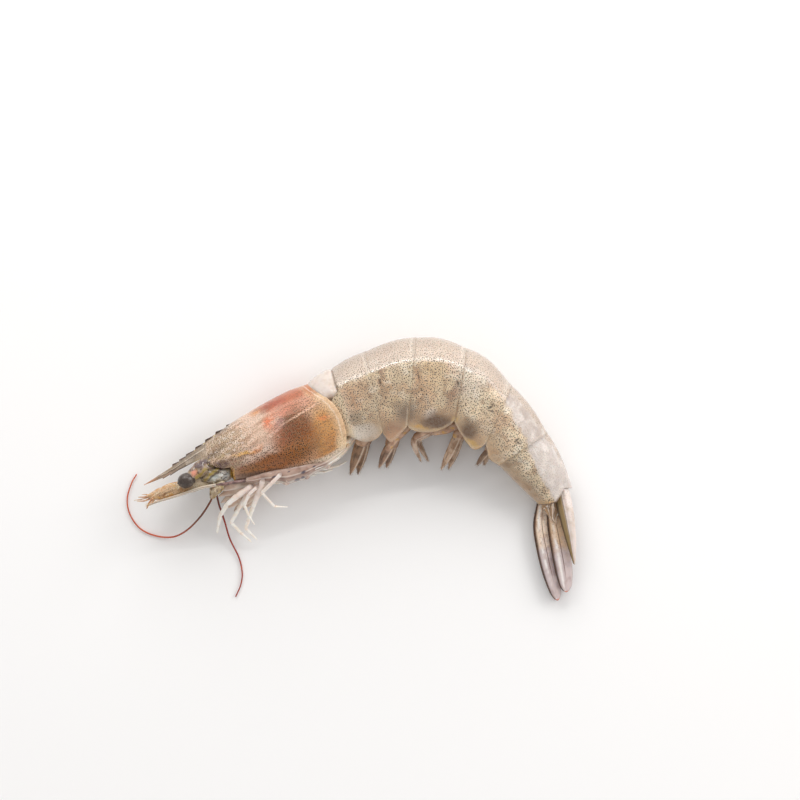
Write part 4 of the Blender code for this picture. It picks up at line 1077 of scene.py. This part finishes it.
for name, mirror in (("left", 1), ("right", -1)):
    stuff, at = new_stuff(f"feeler_{name}")
    loose = at.stray(1.2, 1.6)
    tone = paint((206, 178, 146), (190, 146, 104), loose.noise(1.6, 3.0).ramp(0.42, 0.6))
    streaks = at.streaks(0.12, 1.0, 3.0, 1.6)
    tone = coats(tone, (
        ((116, 84, 58), streaks.ramp(0.56, 0.66) * 0.75),
        ((232, 216, 190), streaks.fade(0.36, 0.44) * 0.7),
        ((212, 170, 98), loose.noise(1.2, 2.0).ramp(0.56, 0.66) * 0.7),
        ((196, 182, 160), loose.patch(-55.0, -27.6, 4.2, 2.2, 15.0, 0.5) * 0.8),
        ((104, 78, 58), at.specks(0.5, 0.28) * 0.7),
    ))
    wet(tone, at.noise(0.5, 2.0), 0.08)
    path, radii = stem(FEELER_STEM, mirror, 70)
    waves = 1 + 0.012 * np.sin(np.linspace(0, 40, 70))
    for joint in (38, 53):                          # the stem is narrow at its two joints
        waves = waves - 0.12 * np.exp(-((np.arange(70) - joint) / 1.4) ** 2)
    piece = limb(f"feeler_stem_{name}", path, radii * waves, 0.62, 28, 60.0)
    fit(piece, stuff, f"antennule_{name}")

    stuff, at = new_stuff(f"feeler_lash_{name}")
    tone = paint((208, 172, 132), (174, 124, 92), at.noise(0.9, 2.0).ramp(0.4, 0.6))
    tone = paint(tone, (110, 70, 48), at.specks(0.45, 0.3) * 0.5)
    wet(tone, at.noise(0.4), 0.05)
    for k, (root, bend, end, radius) in enumerate(LASHES):
        height = MID + mirror * (1.5 + 0.25 * (k % 3))
        path = route([(*root, height), (*bend, height + 0.3 * (-1) ** k), (*end, height - 0.2 * (k % 2))], 16)
        radii = radius * (1 - 0.75 * np.linspace(0, 1, 16)) * (1 + 0.12 * np.cos(np.arange(16) * math.pi))
        piece = limb(f"feeler_lash_{name}_{k + 1}", path, radii, 1.0, 10, 60.0)
        fit(piece, stuff, f"antennule_{name}")

    stuff, at = new_stuff(f"feeler_scale_{name}")
    tone = paint((216, 207, 190), (198, 184, 164), at.noise(2.0, 3.0).ramp(0.45, 0.7))
    veins, across = at.streaks(0.1, 0.9, 4.0), at.mark("across")
    tone = coats(tone, (
        ((172, 140, 108), veins.ramp(0.5, 0.66) * 0.6),
        ((232, 224, 210), veins.fade(0.36, 0.46) * 0.5),
        ((150, 108, 72), at.mark("length").ramp(0.9, 1.0) * 0.6),
        ((214, 204, 192), across.ramp(0.5, 0.95) * 0.8),
        ((112, 88, 74), at.mark("face").hill(0.1, 0.5) * across.ramp(0.7, 0.9) * 0.8),
        ((120, 100, 76), at.specks(0.6, 0.22) * 0.5),
    ))
    wet(tone, at.noise(0.6), 0.04)
    spine = route([(x, y, MID + mirror * z) for x, y, z in SCALE_SPINE], 48)
    rings, marks = leaf_rings(spine, SCALE_WIDTHS, 0.9, (0.0, 0.0, 1.0), ribs=((0.4, 0.16, 0.16),), blunt=0.8)
    fit(skin(f"feeler_scale_{name}", rings, marks, 60.0), stuff, f"antennal_scale_{name}")

    stuff, at = new_stuff(f"feeler_bristles_{name}")
    tone = paint((212, 178, 122), (190, 150, 96), at.noise(1.0).ramp(0.4, 0.6))
    wet(tone, glow=0.0)
    roots, tips = [], []
    for k in range(SCALE_BRISTLES):
        share = 0.55 + 0.44 * k / SCALE_BRISTLES
        spot = spine[int(share * (len(spine) - 1))]
        swing = math.sin(12.9 * k) * 0.5 + 0.5
        roots.append(spot + np.array([0.0, 0.0, (1.8 - 1.6 * swing) * (1 - share) * 2]))
        sweep = (-1.5 - 0.7 * swing, -0.35 + 0.5 * math.sin(7.1 * k), 0.5 * math.sin(3.3 * k))
        tips.append(roots[-1] + np.array(sweep))
    piece = hairs(f"feeler_bristles_{name}", roots, tips, BRISTLE_RADIUS)
    fit(piece, stuff, f"antennal_scale_{name}")


# ---- Antennae ----------------------------------------------------------------------------------------
# Each long whip springs from a stout, clear, wrinkled stem below the face. It is a chain of hundreds of tiny
# rings, dark brown at the root and orange-red further out, and it curls down to the floor.

ANTENNA_STEM = ((-49.8, -27.6, 2.4, 1.3), (-51.2, -28.8, 2.5, 1.65), (-52.0, -30.1, 2.5, 1.35),
                (-52.5, -31.4, 2.3, 0.7))
ANTENNA_ROUTES = {
    "left": ((-52.3, -31.2, 11.8), (-53.6, -33.6, 10.9), (-56.0, -37.0, 9.0), (-59.9, -40.8, 4.6),
             (-64.1, -42.8, 1.4), (-69.2, -42.4, 0.5), (-73.4, -40.3, 0.5), (-76.2, -36.3, 0.5),
             (-76.9, -32.0, 0.5), (-75.7, -27.7, 0.5), (-74.3, -25.2, 0.5)),
    "right": ((-51.4, -30.8, 7.6), (-50.8, -33.6, 6.0), (-50.0, -36.2, 4.6), (-49.2, -38.8, 3.6),
              (-47.9, -43.4, 1.6), (-45.4, -48.7, 0.5), (-44.5, -52.9, 0.5), (-44.9, -56.3, 0.5),
              (-46.3, -59.6, 0.5)),
}
for name, mirror, count, root_share, root_tone, far_tone in (
        ("left", 1, 620, 0.3, (104, 62, 46), (206, 96, 66)),
        ("right", -1, 420, 0.15, (110, 60, 52), (158, 58, 48))):
    stuff, at = new_stuff(f"antenna_stem_{name}")
    tone = paint((196, 178, 152), (160, 138, 112), at.noise(1.2, 3.0).ramp(0.42, 0.6))
    tone = mottles(tone, at, (
        (1.4, 3, 0.54, 0.64, 0.7, (154, 132, 74)),
        (0.8, 3, 0.55, 0.62, 0.8, (98, 78, 62)),
    ))
    wet(tone, at.noise(0.6, 2.0), 0.12, glow=0.35)
    path, radii = stem(ANTENNA_STEM, mirror, 36)
    waves = 1 + 0.05 * np.sin(np.linspace(0, 15, 36))
    piece = limb(f"antenna_stem_{name}", path, radii * waves, 0.85, 26, 60.0)
    fit(piece, stuff, f"antenna_base_{name}")

    stuff, at = new_stuff(f"antenna_whip_{name}")
    length = at.mark("length")
    tone = paint(root_tone, far_tone, length.ramp(0.5 * root_share, 1.6 * root_share))
    tone = paint(tone, (226, 128, 92), at.noise(1.6).ramp(0.5, 0.7) * length.ramp(root_share, 1.0) * 0.5)
    tone = paint(tone, (120, 52, 40), at.mark("ring") * 0.45)
    wet(tone, roughness=0.4, film=0.5, glow=0.0)
    grooved = np.arange(count) % 3 == 0
    radii = (0.30 - 0.12 * np.linspace(0, 1, count)) * (1 - 0.10 * grooved)
    rings, length = tube_rings(route(ANTENNA_ROUTES[name], count), radii, 1.0, 10)
    marks = {"length": np.repeat(length, 10), "ring": np.repeat(np.pad(grooved, 3), 10)}
    fit(skin(f"antenna_whip_{name}", rings, marks, 80.0), stuff, f"antenna_{name}")


# ---- Mouth plates ------------------------------------------------------------------------------------
# In front of the legs the flat mouth feet lie over one another like a closed fan: thin, pinkish-brown and
# clear enough to see the next one through.

MOUTH_PLATES = (      # tip x, y, z, width
    (-51.0, -29.6, 9.4, 2.4), (-50.8, -31.2, 8.8, 2.8), (-50.2, -33.0, 8.0, 3.0), (-48.8, -34.6, 7.2, 3.0),
    (-46.6, -35.4, 6.4, 2.8), (-44.0, -35.0, 5.8, 2.4),
)
for k, (x, y, z, width) in enumerate(MOUTH_PLATES):
    stuff, at = new_stuff(f"mouth_plate_{k + 1}")
    across = at.mark("across")
    tone = paint((234, 210, 194), (206, 176, 158), at.noise(2.2, 3.0).ramp(0.4, 0.62))
    tone = paint(tone, (248, 234, 222), across.ramp(0.35, 0.95) * 0.7)
    # painted shade: one long edge is painted dark, as the shade in the gap against the next plate
    tone = paint(tone, (130, 96, 86), across.fade(-0.98, -0.8) * 0.7)
    wet(tone, at.noise(0.9), 0.08, alpha=1.0 - at.mark("length").ramp(0.3, 1.0) * 0.15)
    root = np.array([-38.2 + 0.3 * k, -26.4 - 0.1 * k, z + 0.6])
    end = np.array([x, y, z])
    middle = root + 0.5 * (end - root) + np.array([0.35, 0.5, 0.5])
    widths = (0.5 * width, width, width, 0.35 * width)
    rings, marks = leaf_rings(route([root, middle, end], 36), widths, 0.5, curl=0.2,
                              ribs=((0.0, 0.14, 0.2),), sides=26, blunt=0.8)
    fit(skin(f"mouth_plate_{k + 1}", rings, marks, 60.0), stuff, "mouthparts")


# ---- Legs --------------------------------------------------------------------------------------------
# Thin cream-white walking legs of jointed, slightly hollow segments. Those of the upper side hang down in
# front of the breast; the lower side's are folded back along it.

LEGS = {      # places of the joints from hip to claw, and the radius at each
    "maxilliped_left": (((-41.4, -28.2, 12.2), (-45.4, -30.9, 11.4), (-48.4, -33.4, 9.6),
                         (-50.5, -36.6, 6.4), (-51.5, -41.6, 2.4)), (0.8, 0.85, 0.7, 0.62, 0.35)),
    "leg_1_left": (((-40.0, -28.6, 13.8), (-42.2, -30.6, 13.1), (-43.5, -33.6, 11.2), (-42.4, -36.6, 8.8),
                    (-40.8, -39.2, 6.8)), (0.5, 0.45, 0.42, 0.4, 0.2)),
    "leg_2_left": (((-39.4, -27.6, 10.0), (-42.8, -30.6, 9.4), (-45.4, -35.0, 7.8), (-47.4, -38.6, 5.8),
                    (-44.8, -41.5, 4.2), (-41.8, -44.2, 2.2)), (0.6, 0.66, 0.6, 0.5, 0.5, 0.24)),
    "leg_3_left": (((-38.2, -26.4, 14.4), (-39.6, -30.4, 11.4), (-41.2, -34.2, 8.8), (-42.6, -38.0, 6.2),
                    (-43.4, -40.3, 4.9), (-40.3, -43.5, 2.6)), (0.7, 0.75, 0.66, 0.55, 0.5, 0.24)),
    "leg_4_left": (((-33.2, -24.8, 15.7), (-35.9, -27.5, 14.7), (-38.6, -30.1, 12.6), (-35.2, -34.0, 8.6),
                    (-31.6, -34.2, 6.4)), (0.55, 0.55, 0.5, 0.46, 0.24)),
}


def margin(station, out, height):
    """A point beside the carapace's lower margin, a distance out from it, at a height."""
    section = blend(CARAPACE_SECTIONS, station)
    down = sides_of(section)[1]
    return (*(section[2:4] + down * out), height)


FOLDED_RADII = (0.44, 0.44, 0.4, 0.34, 0.2)
JOINT_SWELLS = (0.84, 1.08, 1.04, 0.94, 1.06)
for k, name in enumerate(["maxilliped_right"] + [f"leg_{n}_right" for n in range(1, 6)]):
    hip = 4.8 - 0.58 * k
    LEGS[name] = ((margin(hip, 0.9, 2.7), margin(hip - 0.4, 1.6, 2.4), margin(hip - 0.8, 2.5, 1.9),
                   margin(hip - 1.2, 3.2, 1.3), margin(hip - 1.5, 3.4, 0.8)), FOLDED_RADII)
LEGS["leg_5_left"] = ((margin(2.55, 0.6, 14.6), margin(2.0, 1.3, 14.8), margin(1.5, 1.35, 14.8),
                       margin(1.0, 1.2, 14.6), margin(0.5, 1.2, 14.1)), FOLDED_RADII)


def jointed(points, radii):
    """A leg's path with a short bend at each joint, narrow in the joint and swollen beside it."""
    points = [np.array(p, dtype=float) for p in points]
    path, size = [], []
    for k, (start, stop) in enumerate(zip(points, points[1:])):
        long = np.linalg.norm(stop - start)
        near = min(0.3, 0.9 * radii[k] / long)
        for share, swell in zip((0.0, near, 2 * near, 0.5, 1 - near), JOINT_SWELLS):
            path.append(start + (stop - start) * share)
            size.append((radii[k] + (radii[k + 1] - radii[k]) * share) * swell)
    path.append(points[-1])
    size.append(radii[-1] * 0.6)
    return np.array(path), np.array(size)


for name, (points, radii) in LEGS.items():
    stuff, at = new_stuff(f"{name}_shell")
    length = at.mark("length")
    tone = coats((255, 250, 242), (
        ((250, 236, 222), at.noise(2.0, 3.0).ramp(0.42, 0.65)),
        ((232, 206, 198), length.fade(0.1, 0.5) * 0.6),
        ((216, 178, 150), at.mark("joint") * 0.25),
        ((92, 70, 64), length.fade(0.0, 0.05) * 0.7),
    ))
    wet(tone, at.noise(0.7), 0.04, glow=0.1)
    path, size = jointed(points, radii)
    rings, length = tube_rings(path, size, 0.8, 14)
    creases = np.pad(np.arange(len(path)) % len(JOINT_SWELLS) == 0, 3)
    marks = {"length": np.repeat(length, 14), "joint": np.repeat(creases, 14)}
    fit(skin(name, rings, marks, 75.0), stuff, name)


# ---- Swimmerets --------------------------------------------------------------------------------------
# Five pairs of paddles hang under the abdomen. Each has a fleshy stalk, bent at a knee, and a thin brown
# blade with a fringe of fine bristles at its end. The hips of three show below the side plates.

SWIMMERETS = (
    (((-8.6, -10.6, 12.2), (-10.6, -15.6, 12.0), (-12.2, -20.0, 10.6), (-14.0, -25.2, 7.6)),
     (2.6, 3.2, 3.4, 2.6, 0.8)),
    (((-0.8, -10.6, 12.2), (-2.6, -16.4, 12.0), (-4.2, -19.6, 10.4), (-5.9, -23.2, 7.4)),
     (2.2, 2.6, 2.6, 2.2, 0.8)),
    (((11.2, -9.2, 12.2), (8.2, -12.9, 12.0), (3.9, -15.6, 10.8), (5.9, -21.6, 7.6)),
     (2.0, 1.9, 2.0, 1.6, 0.8)),
    (((19.2, -9.4, 11.4), (16.4, -13.8, 11.2), (14.2, -18.4, 9.8), (11.5, -23.8, 6.8)),
     (2.2, 2.6, 2.6, 2.2, 0.8)),
    (((26.2, -15.4, 10.2), (24.8, -18.2, 10.0), (23.0, -20.4, 9.0), (21.6, -22.4, 7.6)),
     (1.6, 1.8, 1.8, 1.5, 0.8)),
)
HIPS_SHOWING = {"swimmeret_4_left": ((17.4, -9.8, 13.6), (13.4, -12.2, 13.8), (9.6, -13.3, 13.2)),
                "swimmeret_3_left": ((9.8, -11.2, 13.6), (7.0, -12.8, 13.6), (4.4, -14.4, 12.6)),
                "swimmeret_2_left": ((1.6, -11.6, 13.6), (-1.0, -14.6, 13.8), (-3.4, -17.8, 12.6))}
FRINGE_HAIRS = 44
RIGHT_SHIFT = 0.7      # the right side's paddles lie a little nearer the tail, and low
RIGHT_LEVELS = (4.6, 4.4, 3.0, 1.4)
SWIMMERET_TONES = (((150, 118, 92), (112, 88, 70)), ((158, 124, 100), (120, 96, 80)),
                   ((206, 182, 162), (160, 128, 104)), ((196, 168, 144), (156, 124, 98)),
                   ((176, 148, 122), (132, 106, 86)))
for k, (points, widths) in enumerate(SWIMMERETS):
    for name, level in (("left", None), ("right", RIGHT_LEVELS)):
        if level:
            points = [(x + RIGHT_SHIFT * i, y, level[i]) for i, (x, y, z) in enumerate(points)]
        pale, dark = SWIMMERET_TONES[k]
        node = f"swimmeret_{k + 1}_{name}"
        stuff, at = new_stuff(node)
        across = at.mark("across")
        tone = coats(pale, (
            (dark, at.noise(2.4, 3.0).ramp(0.4, 0.65)),
            ((80, 62, 50), across.hill(-0.3, 0.25) * at.noise(3.0).ramp(0.4, 0.6) * 0.6),
            ((222, 202, 182), across.hill(0.7, 0.25) * 0.7),
            ((84, 64, 52), at.specks(0.6, 0.22) * 0.45),
        ))
        wet(tone, at.noise(1.0), 0.08)
        spine = route(points, 44)
        rings, marks = leaf_rings(spine, widths, 1.1, curl=0.15, ribs=((0.1, 0.3, 0.3), (-0.6, 0.12, 0.12)),
                                  sides=26, blunt=0.8)
        fit(skin(f"{node}_blade", rings, marks, 60.0), stuff, node)
        stuff, at = new_stuff(f"swimmeret_stalk_{k + 1}_{name}")
        tone = paint((206, 172, 146), (170, 134, 110), at.noise(2.0, 3.0).ramp(0.42, 0.62))
        tone = paint(tone, (206, 160, 84), at.noise(1.6, 3.0).ramp(0.58, 0.66) * 0.7)
        tone = paint(tone, (112, 84, 66), at.mark("across").fade(-0.95, -0.6) * 0.6)
        wet(tone, at.noise(1.0), 0.1)
        knee = np.array(points[1]) * 0.7 + np.array(points[2]) * 0.3
        fleshy = [("stalk", (points[0], points[1], knee), np.linspace(0.8, 0.42, 20) * widths[1], 0.6)]
        if node in HIPS_SHOWING:
            fleshy.append(("hip", HIPS_SHOWING[node], np.linspace(1.7, 0.9, 22), 0.7))
        for bit, way, radii, flat in fleshy:
            rings = tube_rings(route(way, len(radii)), radii, flat, 20)[0]
            marks = {"across": np.tile(np.cos(np.linspace(0, 2 * math.pi, 20, endpoint=False)), len(rings))}
            fit(skin(f"{node}_{bit}", rings, marks, 60.0), stuff, node)
        stuff, at = new_stuff(f"swimmeret_fringe_{k + 1}_{name}")
        tone = paint((178, 150, 120), (132, 104, 80), at.noise(1.0).ramp(0.4, 0.6))
        wet(tone, glow=0.0)
        along = spine[-1] - spine[-8]
        along = along / np.linalg.norm(along)
        side = np.cross((0.0, 0.0, 1.0), along)
        roots, tips = [], []
        for n in range(FRINGE_HAIRS):
            share = 0.62 + 0.37 * n / FRINGE_HAIRS
            spot = spine[int(share * (len(spine) - 1))]
            half = 0.5 * float(blend(widths, 4 * share)) * math.sin(5.3 * n)
            roots.append(spot + side * half * 0.9)
            tips.append(roots[-1] + along * (1.2 + 0.5 * math.sin(2.9 * n)) + side * half * 0.35)
        fit(hairs(f"{node}_fringe", roots, tips, BRISTLE_RADIUS), stuff, node)


# ---- Telson ------------------------------------------------------------------------------------------
# The middle of the tail fan is a hard, wet, pale wedge, painted near-white in part as the lights' reflection
# on it, with a groove along its top, olive-brown along its lower side and drawn out to a sharp point.

TELSON_SPINE = ((44.9, -28.0, 4.9), (46.6, -35.9, 6.0), (48.0, -43.6, 6.1), (49.0, -50.4, 5.8))
TELSON_WIDTHS = (4.4, 4.4, 2.9, 0.6)
stuff, at = new_stuff("telson_shell")
across = at.mark("across")
# the near-white base colour is partly a painted reflection of the lights on the wet top
tone = coats((220, 207, 201), (
    ((203, 187, 175), at.noise(2.6, 3.0).ramp(0.45, 0.7)),
    ((134, 108, 54), across.fade(-0.3, -0.14) * 0.9),
    ((66, 48, 30), across.hill(-0.16, 0.1) * 0.85),
    ((66, 48, 32), across.fade(-0.9, -0.66) * 0.85),
    # painted shade along the groove on its top
    ((206, 190, 182), across.hill(0.1, 0.2) * 0.6),
    ((82, 66, 52), at.specks(0.62, 0.2) * at.mark("length").fade(0.2, 0.6) * 0.5),
))
wet(tone, at.noise(0.8), 0.04)
spine = route(TELSON_SPINE, 60)
ribs = ((-0.34, 0.3, 0.16), (0.34, 0.3, 0.16))
rings, marks = leaf_rings(spine, TELSON_WIDTHS, 3.8, ribs=ribs, sides=40, blunt=0.97, thin=0.85)
fit(skin("telson_shell", rings, marks, 55.0), stuff, "telson")


# ---- Tail fan ----------------------------------------------------------------------------------------
# Two pairs of clear, leaf-thin blades, folded together beside the telson: lavender-white and glossy low
# down, brown-ribbed above, with dark outer edges and a thread of orange-red round their tips.

OUTER_BLADE = ((39.9, -33.4), (39.7, -39.6), (40.9, -46.4), (42.5, -53.4), (44.4, -60.6))
INNER_BLADE = ((42.8, -35.0), (43.9, -40.6), (45.1, -46.8), (46.1, -52.6), (46.8, -58.2))
OUTER_WIDTHS = (2.8, 4.4, 4.8, 4.4, 2.6)
INNER_WIDTHS = (3.4, 4.8, 5.2, 4.8, 2.8)
STEM_SPINE = ((41.4, -30.8), (42.5, -34.6), (43.8, -39.2))
STEM_WIDTHS = (4.4, 4.4, 1.2)
STEM_OVER = 1.7      # its height over the outer blade
for name, low, high, curl in (("left", 3.3, 4.4, 0.35), ("right", 0.9, 2.0, 0.2)):
    for blade, middle_line, widths, level in (("outer", OUTER_BLADE, OUTER_WIDTHS, low),
                                              ("inner", INNER_BLADE, INNER_WIDTHS, high)):
        stuff, at = new_stuff(f"fan_{blade}_{name}")
        across, length = at.mark("across"), at.mark("length")
        tone = paint((196, 180, 180), (172, 153, 152), at.noise(2.8, 3.0).ramp(0.42, 0.66))
        upper = (length + (at.noise(2.0, 3.0) - 0.5) * 0.5).fade(0.3, 0.6)
        tone = coats(tone, (
            ((240, 215, 194) if blade == "outer" else (216, 184, 152), upper * 0.9),
            ((160, 124, 98), upper * at.stray(1.6, 1.2).noise(1.8, 3.0).ramp(0.52, 0.62) * 0.5),
            # painted highlight: a broken white stripe of the lights' reflection down the blade
            ((246, 238, 234), across.hill(-0.3, 0.3) * at.noise(4.0, 2.0).ramp(0.36, 0.6) * 0.8),
            ((74, 52, 36), across.hill(0.12, 0.09) * length.fade(0.62, 0.92) * 0.85),
            ((132, 98, 66), across.fade(-0.8, -0.5) * upper * 0.85),
            ((50, 34, 26), across.fade(-0.88, -0.62) * 0.95),
            ((110, 88, 76), across.ramp(0.93, 0.99) * 0.7),
            ((200, 104, 78), length.ramp(0.975, 0.995) * 0.8),
            ((88, 68, 60), at.specks(0.6, 0.2) * length.fade(0.4, 0.8) * 0.45),
        ))
        wet(tone, at.noise(1.2), 0.06, film=1.0, film_rough=0.05)
        spine = route([(x, y, level) for x, y in middle_line], 64)
        ribs = ((0.1, 0.2, 0.1), (0.5, -0.12, 0.2))
        rings, marks = leaf_rings(spine, widths, 0.4, curl=curl, ribs=ribs, sides=40, blunt=0.9)
        fit(skin(f"fan_{blade}_{name}", rings, marks, 60.0), stuff, f"uropod_{blade}_{name}")
    stuff, at = new_stuff(f"fan_stem_{name}")
    length = at.mark("length")
    slant = at.spread(at.mark("across") * 3.4 + length * 2.6, length * 1.4)
    folds = at.node("ShaderNodeTexNoise", None, {"Vector": slant, "Scale": 1.0, "Detail": 3.0})
    tone = paint((228, 208, 190), (182, 146, 112), folds.ramp(0.42, 0.56))
    # painted shade: a dark line in the crease of each painted fold
    tone = paint(tone, (76, 54, 38), folds.hill(0.5, 0.05) * 0.8)
    # painted glints: small white flecks
    tone = paint(tone, (240, 230, 220), at.noise(0.9, 3.0).ramp(0.6, 0.66) * 0.8)
    wet(tone, at.noise(0.9), 0.12)
    spine = route([(x, y, low + STEM_OVER) for x, y in STEM_SPINE], 36)
    spine = spine + np.outer(0.12 * np.sin(np.linspace(0, 14, 36)), (1.0, 0.3, 0.6))
    ribs = ((0.3, 0.4, 0.16), (-0.3, 0.3, 0.14))
    rings, marks = leaf_rings(spine, STEM_WIDTHS, 2.6, ribs=ribs, sides=34, blunt=0.55, thin=0.7)
    fit(skin(f"fan_stem_{name}", rings, marks, 60.0), stuff, f"uropod_stem_{name}")


# ---- Floor, light and camera -------------------------------------------------------------------------
# A plain pale floor. A broad soft panel stands low on the tail's side, a second beyond the back with a bright
# strip at its upper edge; the camera looks straight down through a long lens.

PHOTO_PIXELS = 800
MM_PER_PIXEL = 0.28
LENS_MM = 200.0
SENSOR_MM = 36.0
VIEW_CENTRE = (0.0, -0.0042)
FLOOR_COLOUR = (0.90, 0.895, 0.90, 1.0)
FLOOR_HALF = 3.0      # metres

floor_mesh = bpy.data.meshes.new("floor")
corners = [(x * FLOOR_HALF, y * FLOOR_HALF, 0) for x, y in ((-1, -1), (1, -1), (1, 1), (-1, 1))]
floor_mesh.from_pydata(corners, [], [(0, 1, 2, 3)])
floor = bpy.data.objects.new("floor", floor_mesh)
bpy.context.scene.collection.objects.link(floor)
floor.location.z = -0.00005
stuff, at = new_stuff("pale_floor")
shader = at.node("ShaderNodeBsdfPrincipled", None, {"Base Color": FLOOR_COLOUR, "Roughness": 0.7})
at.node("ShaderNodeOutputMaterial", None, {"Surface": shader})
floor_mesh.materials.append(stuff)


def soft_panel(name, azimuth_deg, from_zenith_deg, size, brightness, colour=(1.0, 0.985, 0.965)):
    """A lit panel a metre away, facing the animal; its brightness is against a white sheet's."""
    light = bpy.data.lights.new(name, "AREA")
    light.shape = "RECTANGLE"
    light.size, light.size_y = size
    light.energy = brightness * math.pi * size[0] * size[1]
    light.color = colour
    panel = bpy.data.objects.new(name, light)
    bpy.context.scene.collection.objects.link(panel)
    azimuth, lean = math.radians(azimuth_deg), math.radians(from_zenith_deg)
    away = Vector((math.sin(lean) * math.cos(azimuth), math.sin(lean) * math.sin(azimuth), math.cos(lean)))
    panel.location = away
    panel.rotation_euler = away.to_track_quat("Z", "Y").to_euler()


soft_panel("panel_tail_side", 30.0, 60.0, (0.7, 0.55), 4.4)
soft_panel("panel_back_side", 100.0, 66.0, (1.1, 0.7), 2.3)
soft_panel("strip_back_side", 100.0, 42.0, (1.3, 0.035), 16.0)
soft_panel("panel_belly_side", 255.0, 68.0, (0.9, 0.6), 0.6)

world = bpy.data.worlds.new("sky")
world.use_nodes = True
world.node_tree.nodes["Background"].inputs["Color"].default_value = (1.0, 0.99, 0.975, 1.0)
world.node_tree.nodes["Background"].inputs["Strength"].default_value = 0.57
bpy.context.scene.world = world
bpy.context.scene.view_settings.view_transform = "Standard"

lens = bpy.data.cameras.new("camera")
lens.lens = LENS_MM
lens.sensor_width = SENSOR_MM
lens.clip_start, lens.clip_end = 0.05, 20.0
camera = bpy.data.objects.new("camera", lens)
bpy.context.scene.collection.objects.link(camera)
camera.location = (*VIEW_CENTRE, MM * (MID + PHOTO_PIXELS * MM_PER_PIXEL * LENS_MM / SENSOR_MM))
bpy.context.scene.camera = camera
